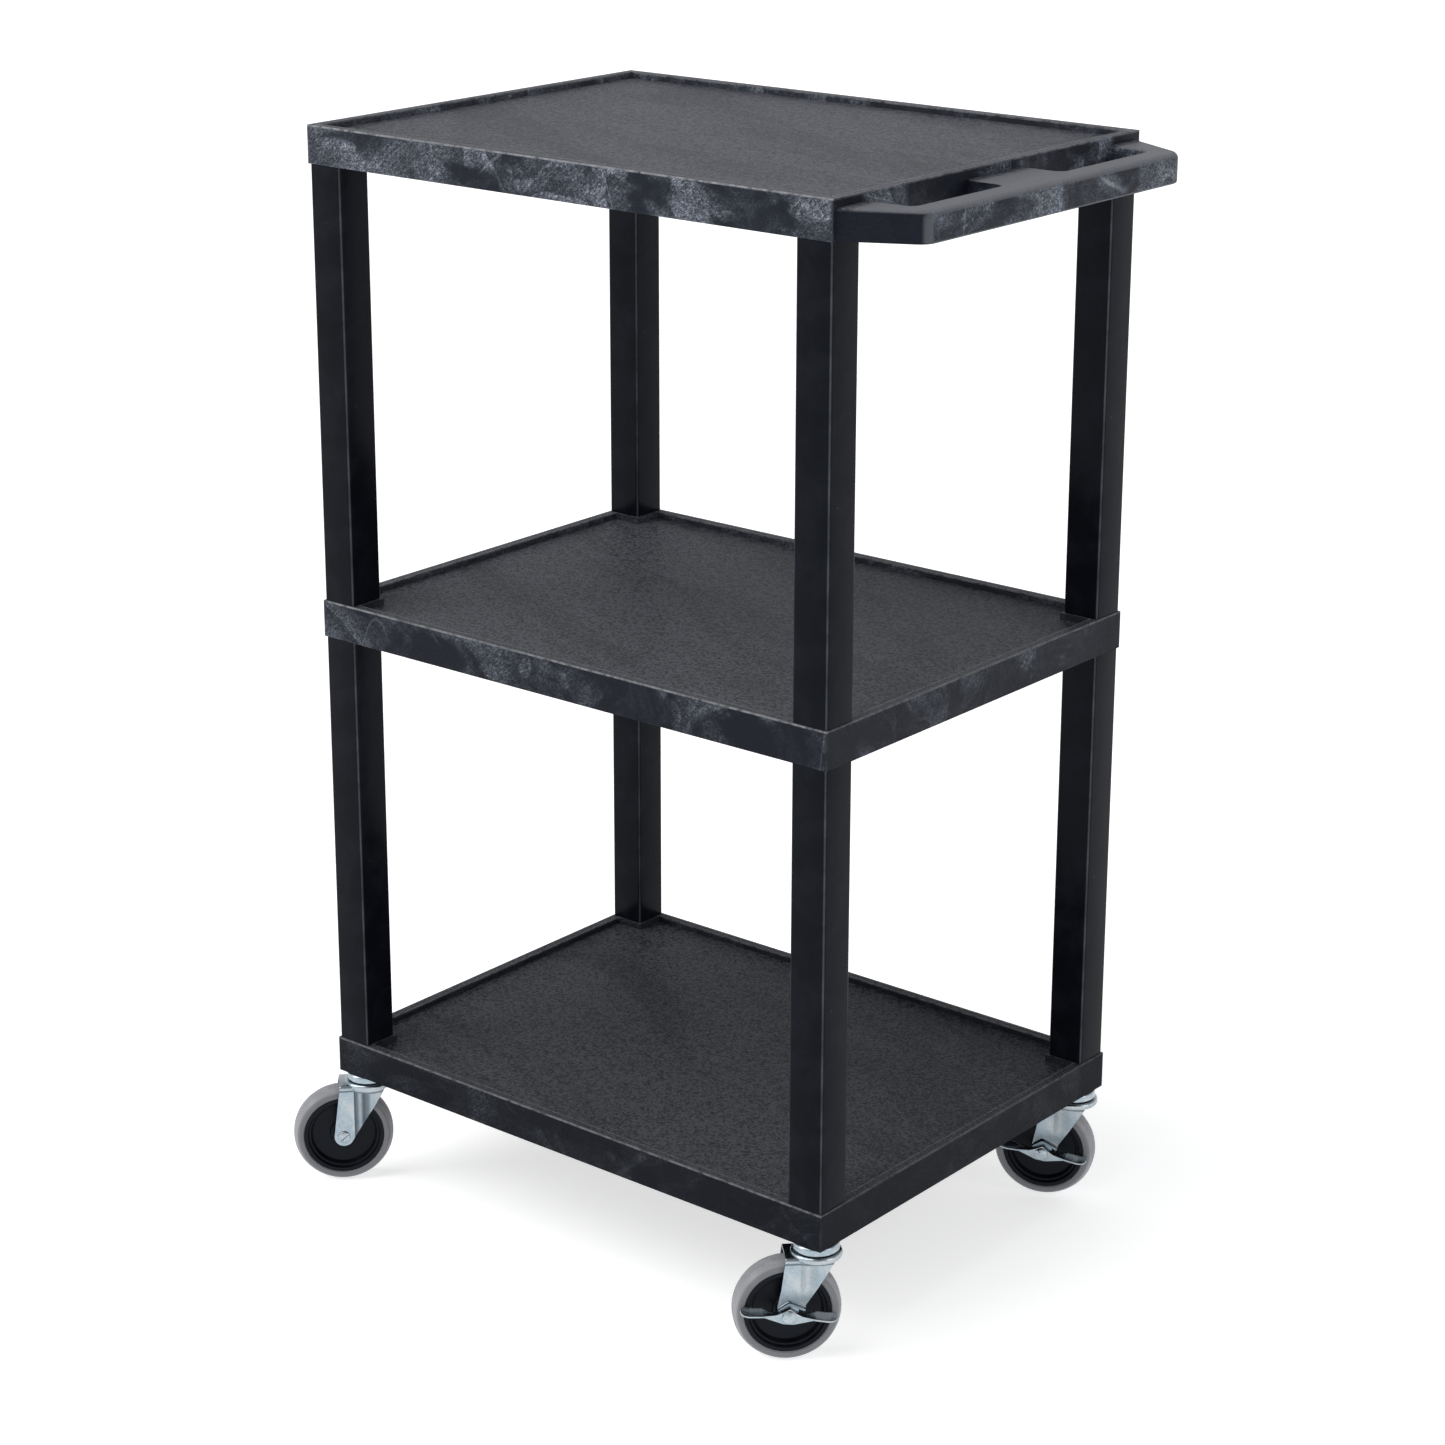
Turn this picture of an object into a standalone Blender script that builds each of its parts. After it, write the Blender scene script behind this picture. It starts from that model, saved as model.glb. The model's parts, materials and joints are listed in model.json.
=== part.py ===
"""A three-shelf rolling utility cart: moulded plastic tray shelves, square tube legs, swivel casters.

Metres, +Z up. +X points at the push handle, the floor is z = 0, and the origin is on the floor under
the middle of the whole cart's outline, trailing casters and handle included.
"""

import math

import bmesh
import bpy
from mathutils import Matrix, Vector

MM = 0.001
GAP = 0.3 * MM  # between pieces that touch on the real cart

# Shelves
SHELF_X = 609.6 * MM
SHELF_Y = 457.2 * MM
SHELF_H = 36.0 * MM
RIM_Z = (152.4 * MM, 609.6 * MM, 1066.8 * MM)  # bottom, middle and top shelf
RIM_W = 9.0 * MM
RIM_H = 6.35 * MM
DECK_T = 4.5 * MM
SKIRT_T = 6.0 * MM
RIB_T = 3.0 * MM
POCKETS_X = 6
POCKETS_Y = 5

# Push handle, moulded with the top shelf
HANDLE_REACH = 69.0 * MM
HANDLE_H = 28.0 * MM
HANDLE_BAR = 27.0 * MM  # depth of the grip bar along X
HANDLE_END_Y = 190.0 * MM  # where the slanted arms meet the bar
HANDLE_ROUND = 12.0 * MM
SLOT_Y = (42.0 * MM, 178.0 * MM)  # each hand slot, from the middle web to the arm
SLOT_ROUND = 9.0 * MM

# Legs
LEG_W = 38.0 * MM
LEG_WALL = 2.2 * MM
LEG_ROUND = 3.0 * MM
LEG_INSET = 1.0 * MM  # leg face behind the shelf's outer face
POST_W = LEG_W - 2 * LEG_WALL - 2 * GAP
POST_L = 60.0 * MM  # how far a shelf's corner post reaches into a leg
PAD_MARGIN = 2.0 * MM  # corner pad beyond the leg on the deck
BLOCK_SINK = 0.5 * MM  # underside of a corner block above the skirt's edge

# Casters, each in its own frame: x = trail, y = wheel axis, z = up from the floor
WHEEL_R = 50.0 * MM
WHEEL_SEGMENTS = 24
TYRE_HALF = 13.5 * MM
HUB_R = 40.3 * MM
HUB_HALF = 12.5 * MM
BOSS_R = 10.6 * MM
BOSS_HALF = 14.2 * MM
TRAIL = 26.7 * MM
FORK_INNER = 14.6 * MM
FORK_T = 2.4 * MM
FORK_OUTER = FORK_INNER + FORK_T
CROWN_TOP = 105.0 * MM
FORK_BEND = 3.5 * MM
LUG_R = 9.7 * MM  # round end of a fork leg, about the axle
FORK_REAR = 29.6 * MM  # the fork's top edge runs from FORK_FRONT to FORK_REAR along the trail
FORK_FRONT = -17.0 * MM
AXLE_R = 4.0 * MM
AXLE_HEAD_R = 6.3 * MM
AXLE_HEAD_H = 2.6 * MM
STEM_R = 5.5 * MM
STEM_L = 37.0 * MM
SOCKET_R = 8.0 * MM
SOCKET_L = 39.0 * MM
SOCKET_FLANGE = 3.0 * MM
SOCKET_FLANGE_T = 1.3 * MM
RACE_PLATE_R = 21.7 * MM  # the round plate on the stem, over the balls
CROWN_R = 24.0 * MM  # the rolled race on the fork, under the balls
PIN_R = 5.0 * MM  # the stem where it passes through the fork
RIVET_R = 8.0 * MM
RIVET_H = 2.6 * MM
BALL_R = 2.0 * MM
RACE_R = 15.0 * MM
BUSHING_R = 5.8 * MM
NUT_R = 7.2 * MM
NUT_T = 4.0 * MM

# Brake pedal, about the axle
PEDAL_T = 1.6 * MM
PEDAL_INNER = FORK_INNER
PEDAL_OUTER = 23.0 * MM
PEDAL_TILT = math.radians(6.5)  # trailing wing up when the brake is off

SHELF_BOTTOM = RIM_Z[0] - SHELF_H
GROOVE_Z = SHELF_BOTTOM + 29 * MM  # the groove near the top of the stem, which holds the grip ring
GROOVE_H = 3.0 * MM
GROOVE_R = STEM_R - 1.2 * MM
LEG_X = SHELF_X / 2 - LEG_INSET - LEG_W / 2
LEG_Y = SHELF_Y / 2 - LEG_INSET - LEG_W / 2
CORNERS = {
    "front_left": (-1, -1),
    "front_right": (1, -1),
    "rear_right": (1, 1),
    "rear_left": (-1, 1),
}
# Direction of each wheel's axis, in degrees from +X: the casters stand as they stopped rolling
AXLE_ANGLE = {"front_left": -43.0, "front_right": -45.0, "rear_right": -65.5, "rear_left": -52.0}
BRAKED = ("front_right", "rear_right")
CART_SHIFT = Vector((-13.0 * MM, 21.0 * MM, 0.0))  # puts the origin under the middle of the outline


def clear_scene():
    for obj in list(bpy.data.objects):
        bpy.data.objects.remove(obj, do_unlink=True)


def new_collection(name, hidden=False):
    made = bpy.data.collections.new(name)
    bpy.context.scene.collection.children.link(made)
    made.hide_render = hidden
    return made


def new_material(name, colour, roughness, metallic=0.0):
    made = bpy.data.materials.new(name)
    made.use_nodes = True
    shader = made.node_tree.nodes["Principled BSDF"]
    shader.inputs["Base Color"].default_value = (*colour, 1.0)
    shader.inputs["Roughness"].default_value = roughness
    shader.inputs["Metallic"].default_value = metallic
    return made


clear_scene()
PARTS = new_collection("rolling_utility_cart")
CUTTERS = new_collection("cutters", hidden=True)
CHARCOAL = new_material("charcoal_plastic", (0.055, 0.057, 0.063), 0.55)
GLOSS_BLACK = new_material("gloss_black_pvc", (0.014, 0.014, 0.017), 0.2)
ZINC = new_material("zinc_steel", (0.62, 0.66, 0.70), 0.3, 1.0)
HUB_BLACK = new_material("black_nylon", (0.012, 0.012, 0.014), 0.45)
GREY_RUBBER = new_material("grey_rubber", (0.32, 0.32, 0.33), 0.7)


def place(obj, name, material, parent):
    """Names a finished piece, gives it its material and hangs it, with its cutters, on its parent empty."""
    obj.name = name
    obj.data.materials.clear()
    obj.data.materials.append(material)
    for owner in list(obj.users_collection):
        owner.objects.unlink(obj)
    PARTS.objects.link(obj)
    obj.parent = parent
    for step in obj.modifiers:
        if step.type == "BOOLEAN":
            step.object.parent = parent
    return obj


def as_cutter(obj):
    """Moves a helper to the cutters, where only Booleans see it."""
    for owner in list(obj.users_collection):
        owner.objects.unlink(obj)
    CUTTERS.objects.link(obj)
    obj.hide_render = True
    obj.display_type = "WIRE"
    return obj


def empty(name, location, turn=0.0, parent=None):
    made = bpy.data.objects.new(name, None)
    made.empty_display_size = 0.03
    made.location = location
    made.rotation_euler = (0.0, 0.0, turn)
    made.parent = parent
    PARTS.objects.link(made)
    return made


def mesh_object(name, build):
    """An object whose mesh build(bm) fills."""
    mesh = bpy.data.meshes.new(name)
    bm = bmesh.new()
    build(bm)
    bm.to_mesh(mesh)
    bm.free()
    made = bpy.data.objects.new(name, mesh)
    PARTS.objects.link(made)
    return made


def box(name, low, high):
    """A box between two corners."""
    size = Vector(high) - Vector(low)
    middle = (Vector(high) + Vector(low)) / 2

    def build(bm):
        bmesh.ops.create_cube(bm, size=1.0, matrix=Matrix.Translation(middle) @ Matrix.Diagonal((*size, 1.0)))

    return mesh_object(name, build)


def cylinder(name, radius, start, end, segments):
    """A cylinder between two points."""
    start, end = Vector(start), Vector(end)
    turn = (end - start).to_track_quat("Z", "Y").to_matrix().to_4x4()

    def build(bm):
        bmesh.ops.create_cone(
            bm,
            cap_ends=True,
            segments=segments,
            radius1=radius,
            radius2=radius,
            depth=(end - start).length,
            matrix=Matrix.Translation((start + end) / 2) @ turn,
        )

    return mesh_object(name, build)


def plate(name, outlines, low, high, along="Z"):
    """Closed outlines, the later ones holes, extruded from low to high along an axis.

    An outline's points are (x, y) along Z, (x, z) along Y and (y, z) along X.
    """
    curve = bpy.data.curves.new(name, "CURVE")
    curve.dimensions = "2D"
    curve.fill_mode = "BOTH"
    curve.extrude = (high - low) / 2
    for outline in outlines:
        spline = curve.splines.new("POLY")
        spline.points.add(len(outline) - 1)
        for point, (u, v) in zip(spline.points, outline):
            point.co = (u, v, 0.0, 1.0)
        spline.use_cyclic_u = True
    guide = bpy.data.objects.new(name, curve)
    CUTTERS.objects.link(guide)
    middle = (low + high) / 2
    guide.matrix_world = {
        "Z": Matrix.Translation((0, 0, middle)),
        "Y": Matrix(((1, 0, 0, 0), (0, 0, -1, middle), (0, 1, 0, 0), (0, 0, 0, 1))),
        "X": Matrix(((0, 0, 1, middle), (1, 0, 0, 0), (0, 1, 0, 0), (0, 0, 0, 1))),
    }[along]
    bpy.context.view_layer.update()
    graph = bpy.context.evaluated_depsgraph_get()
    mesh = bpy.data.meshes.new_from_object(guide.evaluated_get(graph))
    mesh.transform(guide.matrix_world)
    bpy.data.objects.remove(guide, do_unlink=True)
    bm = bmesh.new()
    bm.from_mesh(mesh)
    bmesh.ops.remove_doubles(bm, verts=bm.verts, dist=0.01 * MM)
    flat = math.radians(0.5)  # the fill's triangles become one face, which a Boolean cuts more cleanly
    bmesh.ops.dissolve_limit(bm, angle_limit=flat, verts=bm.verts, edges=bm.edges)
    bmesh.ops.recalc_face_normals(bm, faces=bm.faces)
    bm.to_mesh(mesh)
    bm.free()
    made = bpy.data.objects.new(name, mesh)
    PARTS.objects.link(made)
    return made


def turned(name, profile, segments, ring=False, axis="Z", first_angle=0.0):
    """A profile of (radius, height) points, top to bottom, turned about Z, or about Y for a wheel.

    A ring's profile closes on itself and runs top to bottom on its outer side.
    """
    mesh = bpy.data.meshes.new(name)
    cos, sin = math.cos(first_angle), math.sin(first_angle)
    points = [(r * cos, r * sin, h) for r, h in profile]
    edges = [(i, i + 1) for i in range(len(points) - 1)]
    if ring:
        edges.append((len(points) - 1, 0))
    mesh.from_pydata(points, edges, [])
    made = bpy.data.objects.new(name, mesh)
    PARTS.objects.link(made)
    screw = made.modifiers.new("turn", "SCREW")
    screw.axis = "Z"
    screw.steps = segments
    screw.render_steps = segments
    screw.use_merge_vertices = True
    screw.merge_threshold = 0.00005
    screw.use_smooth_shade = True
    if axis == "Y":
        made.rotation_euler = (-math.pi / 2, 0.0, 0.0)
    return made


def combine(obj, other, operation):
    """Adds a Boolean of the other object, which becomes a cutter."""
    as_cutter(other)
    step = obj.modifiers.new(operation.lower(), "BOOLEAN")
    step.operation = operation
    step.object = other
    step.solver = "EXACT"
    return obj


def settle(obj):
    """Replaces the object's mesh by what its modifiers make, so that it can be cut again."""
    bpy.context.view_layer.update()
    graph = bpy.context.evaluated_depsgraph_get()
    mesh = bpy.data.meshes.new_from_object(obj.evaluated_get(graph))
    obj.modifiers.clear()
    obj.data = mesh
    return obj


def mirrored(obj, x=True, y=True):
    """Repeats a shape that stands off the middle planes on their other sides."""
    mirror = obj.modifiers.new("mirror", "MIRROR")
    mirror.use_axis = (x, y, False)
    mirror.use_clip = False
    mirror.merge_threshold = 0.00005
    return obj


def arc(centre, radius, start, end, steps):
    """Points on an arc, with its angles in degrees."""
    angles = [math.radians(start + (end - start) * i / steps) for i in range(steps + 1)]
    return [(centre[0] + radius * math.cos(a), centre[1] + radius * math.sin(a)) for a in angles]


def rounded_rectangle(low, high, radius, steps=3):
    """The outline of a rectangle between two corners, with round corners."""
    (x0, y0), (x1, y1) = low, high
    return (
        arc((x1 - radius, y1 - radius), radius, 0, 90, steps)
        + arc((x0 + radius, y1 - radius), radius, 90, 180, steps)
        + arc((x0 + radius, y0 + radius), radius, 180, 270, steps)
        + arc((x1 - radius, y0 + radius), radius, 270, 360, steps)
    )


def tangent_angle(point, centre, radius, side):
    """The angle, in degrees, at which a line from a point touches a circle on its left (+1) or right (-1)."""
    away = Vector(point) - Vector(centre)
    return math.degrees(math.atan2(away.y, away.x) + side * math.acos(radius / away.length))


def band(centreline, thickness):
    """The outline of a bent strip of even thickness about a line of (u, v) points."""
    points = [Vector(p) for p in centreline]
    above, below = [], []
    for i, point in enumerate(points):
        ahead = (points[min(i + 1, len(points) - 1)] - points[max(i - 1, 0)]).normalized()
        normal = Vector((-ahead.y, ahead.x)) * thickness / 2
        above.append(tuple(point + normal))
        below.append(tuple(point - normal))
    return above + below[::-1]


def cut_tray(body, rim_z, padded):
    """Sinks the deck below the rim, but for a square pad at each corner where a leg stands."""
    wide_x, wide_y = SHELF_X / 2 - RIM_W, SHELF_Y / 2 - RIM_W
    narrow_x = LEG_X - LEG_W / 2 - PAD_MARGIN if padded else wide_x
    narrow_y = LEG_Y - LEG_W / 2 - PAD_MARGIN if padded else wide_y
    low, high = rim_z - RIM_H, rim_z + 5 * MM
    combine(body, box("tray", (-wide_x, -narrow_y, low), (wide_x, narrow_y, high)), "DIFFERENCE")
    if padded:
        combine(body, box("tray_ends", (-narrow_x, -wide_y, low), (narrow_x, wide_y, high)), "DIFFERENCE")


def underside_pockets(rim_z):
    """The grid of pockets between the ribs under a deck."""
    inner_x, inner_y = SHELF_X - 2 * SKIRT_T, SHELF_Y - 2 * SKIRT_T
    pitch_x = (inner_x + RIB_T) / POCKETS_X
    pitch_y = (inner_y + RIB_T) / POCKETS_Y
    low = Vector((-inner_x / 2, -inner_y / 2, rim_z - SHELF_H - 5 * MM))
    high = Vector((low.x + pitch_x - RIB_T, low.y + pitch_y - RIB_T, rim_z - RIM_H - DECK_T))
    pockets = box("pockets", low, high)
    for axis, count, pitch in ((0, POCKETS_X, pitch_x), (1, POCKETS_Y, pitch_y)):
        row = pockets.modifiers.new("row", "ARRAY")
        row.count = count
        row.use_relative_offset = False
        row.use_constant_offset = True
        row.constant_offset_displace = [pitch if i == axis else 0.0 for i in range(3)]
    return settle(pockets)


def corner_blocks(rim_z):
    """Solid blocks in the four corners, under the pads."""
    reach = LEG_W / 2 + PAD_MARGIN + 1 * MM
    low = (LEG_X - reach, LEG_Y - reach, rim_z - SHELF_H + BLOCK_SINK)
    high = (SHELF_X / 2 - SKIRT_T / 2, SHELF_Y / 2 - SKIRT_T / 2, rim_z - RIM_H - DECK_T / 2)
    return settle(mirrored(box("corner_blocks", low, high)))


def corner_posts(low_z, high_z):
    """The square posts that plug into the legs."""
    half = POST_W / 2
    post = box("corner_posts", (LEG_X - half, LEG_Y - half, low_z), (LEG_X + half, LEG_Y + half, high_z))
    return settle(mirrored(post))


def shelf(name, rim_z, legs_above, legs_below):
    """A tray shelf: lipped deck over a ribbed underside, with posts that plug into the legs."""
    body = box(name, (-SHELF_X / 2, -SHELF_Y / 2, rim_z - SHELF_H), (SHELF_X / 2, SHELF_Y / 2, rim_z))
    cut_tray(body, rim_z, legs_above)
    combine(body, underside_pockets(rim_z), "DIFFERENCE")
    combine(body, corner_blocks(rim_z), "UNION")
    middle_z = rim_z - SHELF_H / 2
    low_z = rim_z - SHELF_H - POST_L if legs_below else middle_z
    high_z = rim_z + POST_L if legs_above else middle_z
    return combine(body, corner_posts(low_z, high_z), "UNION")


def handle_outline():
    """The handle in plan: arms that slant in from the shelf's corners to a straight bar."""
    root_x, end_x = SHELF_X / 2 - SKIRT_T / 2, SHELF_X / 2 + HANDLE_REACH
    slope = math.degrees(math.atan2(SHELF_Y / 2 - HANDLE_END_Y, HANDLE_REACH))
    # The round corner touches the bar's face and the slanted arm
    half_turn = math.radians(90 - slope) / 2
    centre_y = HANDLE_END_Y - HANDLE_ROUND * math.tan(half_turn)
    corner = arc((end_x - HANDLE_ROUND, centre_y), HANDLE_ROUND, 0, 90 - slope, 5)
    root = (root_x, SHELF_Y / 2 - 1 * MM)
    return [(u, -v) for u, v in reversed([*corner, root])] + [*corner, root]


def add_handle(top):
    """Joins the push handle to the top shelf's +X side, with its two hand slots."""
    low_z = RIM_Z[2] - SHELF_H + 0.4 * MM
    high_z = RIM_Z[2] - SHELF_H + HANDLE_H
    combine(top, plate("handle", [handle_outline()], low_z, high_z), "UNION")
    slot = rounded_rectangle(
        (SHELF_X / 2, SLOT_Y[0]), (SHELF_X / 2 + HANDLE_REACH - HANDLE_BAR, SLOT_Y[1]), SLOT_ROUND
    )
    slots = mirrored(plate("hand_slots", [slot], low_z - 5 * MM, high_z + 5 * MM), x=False)
    combine(top, settle(slots), "DIFFERENCE")


def add_stem_bores(bottom):
    """Stepped holes in the bottom shelf's corner blocks for the caster sockets."""
    low_z = SHELF_BOTTOM - 2 * MM
    flange_top = SHELF_BOTTOM + BLOCK_SINK + SOCKET_FLANGE_T + GAP
    for name, radius, high_z in (
        ("stem_bores", SOCKET_R, SHELF_BOTTOM + SOCKET_L + 3 * MM),
        ("flange_bores", SOCKET_R + SOCKET_FLANGE + GAP, flange_top),
    ):
        bore = cylinder(name, radius, (LEG_X, LEG_Y, low_z), (LEG_X, LEG_Y, high_z), 12)
        combine(bottom, settle(mirrored(bore)), "DIFFERENCE")


def leg(name, corner, low_z, high_z, parent):
    """A square tube with round outer edges."""
    outer, inner = LEG_W / 2, LEG_W / 2 - LEG_WALL
    tube = plate(
        name,
        [
            rounded_rectangle((-outer, -outer), (outer, outer), LEG_ROUND, 2),
            [(inner, inner), (-inner, inner), (-inner, -inner), (inner, -inner)],
        ],
        low_z,
        high_z,
    )
    tube.location = (corner[0] * LEG_X, corner[1] * LEG_Y, 0.0)
    return place(tube, name, GLOSS_BLACK, parent)


def frame(cart):
    """The three shelves and the eight legs."""
    bottom = shelf("bottom_shelf", RIM_Z[0], legs_above=True, legs_below=False)
    add_stem_bores(bottom)
    middle = shelf("middle_shelf", RIM_Z[1], legs_above=True, legs_below=True)
    top = shelf("top_shelf", RIM_Z[2], legs_above=False, legs_below=True)
    add_handle(top)
    for tray in (bottom, middle, top):
        place(tray, tray.name, CHARCOAL, cart)
    for tier, level in (("lower", 0), ("upper", 1)):
        low_z = RIM_Z[level] + GAP
        high_z = RIM_Z[level + 1] - SHELF_H - GAP
        for where, corner in CORNERS.items():
            leg(f"{tier}_leg_{where}", corner, low_z, high_z, cart)


def stem_socket(where, pivot):
    """The flanged steel sleeve pressed into the bottom shelf, which grips the caster's stem."""
    low = SHELF_BOTTOM + BLOCK_SINK - 0.1 * MM
    outer, bore = SOCKET_R - GAP, STEM_R + 0.6 * MM
    profile = [
        (bore, low + SOCKET_L),
        (outer, low + SOCKET_L),
        (outer, low + SOCKET_FLANGE_T),
        (outer + SOCKET_FLANGE, low + SOCKET_FLANGE_T),
        (outer + SOCKET_FLANGE, low),
        (bore, low),
    ]
    place(turned("socket", profile, 12, ring=True), f"stem_socket_{where}", ZINC, pivot)


def caster_stem(where, pivot):
    """The stem, its domed upper race plate, and the riveted end that holds the fork."""
    top = SHELF_BOTTOM - GAP
    skirt, below_fork = 7.9 * MM, CROWN_TOP - FORK_T - GAP
    profile = [
        (0.0, top + STEM_L),
        (STEM_R - 1 * MM, top + STEM_L),
        (STEM_R, top + STEM_L - 1 * MM),
        (STEM_R, GROOVE_Z + GROOVE_H),
        (GROOVE_R, GROOVE_Z + GROOVE_H),
        (GROOVE_R, GROOVE_Z),
        (STEM_R, GROOVE_Z),
        (STEM_R, top),
        (RACE_PLATE_R - 2.5 * MM, top),
        (RACE_PLATE_R, top - 2.2 * MM),
        (RACE_PLATE_R, top - skirt + 1.7 * MM),
        (RACE_PLATE_R - 1 * MM, top - skirt),
        (RACE_R + 2.4 * MM, top - skirt),
        (RACE_R + 2.4 * MM, top - 6.5 * MM),
        (RACE_R - 2.4 * MM, top - 6.5 * MM),
        (RACE_R - 2.4 * MM, CROWN_TOP + GAP),
        (PIN_R, CROWN_TOP + GAP),
        (PIN_R, below_fork),
        (RIVET_R, below_fork),
        (RIVET_R - 1.5 * MM, CROWN_TOP - FORK_T - RIVET_H),
        (0.0, CROWN_TOP - FORK_T - RIVET_H),
    ]
    place(turned("stem", profile, 12), f"caster_stem_{where}", ZINC, pivot)


def grip_ring(where, pivot):
    """The spring ring in the stem's groove."""
    inner, outer = GROOVE_R + GAP, STEM_R + 0.3 * MM
    low, high = GROOVE_Z + 0.4 * MM, GROOVE_Z + GROOVE_H - 0.4 * MM
    profile = [(inner, high), (outer, high), (outer, low), (inner, low)]
    place(turned("ring", profile, 12, ring=True), f"grip_ring_{where}", ZINC, pivot)


def ball_race(where, swivel):
    """The ring of balls between the upper race plate and the fork's crown."""
    middle = (0, CROWN_TOP + BALL_R + GAP)
    profile = [(RACE_R + u, v) for u, v in reversed(arc(middle, BALL_R, -60, 240, 5))]
    place(turned("balls", profile, 12, ring=True), f"ball_race_{where}", ZINC, swivel)


def fork_side_outline():
    """One fork leg from the side: wide at the crown, tapering back to a round end about the axle."""
    axle = (TRAIL, WHEEL_R)
    rear, front = (FORK_REAR, CROWN_TOP), (FORK_FRONT, CROWN_TOP)
    above = 2 * MM
    rear_angle = tangent_angle(rear, axle, LUG_R, -1)
    front_angle = tangent_angle(front, axle, LUG_R, 1)
    lug = arc(axle, LUG_R, rear_angle, front_angle - 360, 8)
    return [(front[0], front[1] + above), (rear[0], rear[1] + above), rear, *lug, front]


def fork_section_outline():
    """The folded sheet seen along the trail: an upside-down U with round bends."""
    low = 30 * MM
    inner_bend = FORK_BEND - FORK_T
    outer = arc((FORK_OUTER - FORK_BEND, CROWN_TOP - FORK_BEND), FORK_BEND, 0, 90, 2)
    inner = arc((FORK_OUTER - FORK_BEND, CROWN_TOP - FORK_BEND), inner_bend, 90, 0, 2)
    right = [(FORK_OUTER, low), *outer]
    right_inside = [*inner, (FORK_INNER, low)]
    left = [(-u, v) for u, v in reversed(right)]
    left_inside = [(-u, v) for u, v in reversed(right_inside)]
    return right + left + left_inside + right_inside


def crown_cup():
    """The raised round race on the fork's crown."""
    top = CROWN_TOP + 2.2 * MM
    low, floor = CROWN_TOP - 2.1 * MM, CROWN_TOP - 0.4 * MM
    profile = [
        (CROWN_R - 4.6 * MM, top),
        (CROWN_R - 1.6 * MM, top),
        (CROWN_R, top - 1.4 * MM),
        (CROWN_R, low + 1.2 * MM),
        (CROWN_R - 1.2 * MM, low),
        (9.0 * MM, low),
        (9.0 * MM, floor),
        (CROWN_R - 5.6 * MM, floor),
        (CROWN_R - 5.6 * MM, top - 1.0 * MM),
    ]
    return settle(turned("crown_cup", profile, 20, ring=True))


def brake_cam():
    """The peaked foot folded out of a braked fork's near leg, over the pedal."""
    centreline = [(-14.5, 4.6), (-7.0, 8.6), (0.0, 12.1), (9.3, 6.5)]
    path = [(TRAIL + u * MM, WHEEL_R + v * MM) for u, v in centreline]
    return plate("brake_cam", [band(path, FORK_T)], FORK_OUTER - 1 * MM, FORK_OUTER + 4 * MM, "Y")


def fork(where, swivel, braked):
    """The folded steel fork with its crown race, holes and, on a braked caster, the brake's foot."""
    reach = 60 * MM
    body = plate("fork", [fork_section_outline()], -reach, reach, "X")
    side = plate("fork_side", [fork_side_outline()], -reach, reach, "Y")
    combine(body, side, "INTERSECT")
    combine(body, crown_cup(), "UNION")
    if braked:
        combine(body, brake_cam(), "UNION")
    axle_hole = cylinder(
        "axle_hole", AXLE_R + GAP, (TRAIL, -reach, WHEEL_R), (TRAIL, reach, WHEEL_R), 12
    )
    combine(body, axle_hole, "DIFFERENCE")
    pin_hole = cylinder("pin_hole", PIN_R + GAP, (0, 0, CROWN_TOP - 9 * MM), (0, 0, CROWN_TOP + 9 * MM), 12)
    combine(body, pin_hole, "DIFFERENCE")
    place(body, f"fork_{where}", ZINC, swivel)


def axle_bolt(where, axle, braked):
    """The axle: a pan head on the +y side, and a threaded end through the nut."""
    head = PEDAL_OUTER + GAP if braked else FORK_OUTER + GAP
    tail = -FORK_OUTER - GAP - NUT_T - 1.2 * MM
    profile = [
        (0.0, head + AXLE_HEAD_H),
        (AXLE_HEAD_R - 1.6 * MM, head + AXLE_HEAD_H),
        (AXLE_HEAD_R, head + 1.0 * MM),
        (AXLE_HEAD_R, head),
        (AXLE_R, head),
        (AXLE_R, tail),
        (0.0, tail),
    ]
    place(turned("axle", profile, 12, axis="Y"), f"axle_bolt_{where}", ZINC, axle)


def axle_nut(where, axle):
    """A hexagon nut on the -y side."""
    hexagon = arc((0, 0), NUT_R, 0, 300, 5)
    hole = arc((0, 0), AXLE_R + GAP, 0, 330, 11)
    nut = plate("nut", [hexagon, hole], -FORK_OUTER - GAP - NUT_T, -FORK_OUTER - GAP, "Y")
    place(nut, f"axle_nut_{where}", ZINC, axle)


def wheel_bushing(where, axle):
    """The steel sleeve that the wheel turns on."""
    outer, inner = BUSHING_R, AXLE_R + GAP
    profile = [(inner, BOSS_HALF), (outer, BOSS_HALF), (outer, -BOSS_HALF), (inner, -BOSS_HALF)]
    place(turned("bushing", profile, 12, ring=True, axis="Y"), f"wheel_bushing_{where}", ZINC, axle)


def both_sides(half):
    """A wheel's closed profile from its +y half, listed from the outside of the middle inwards."""
    return half[::-1] + [(r, -h) for r, h in half]


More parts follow.
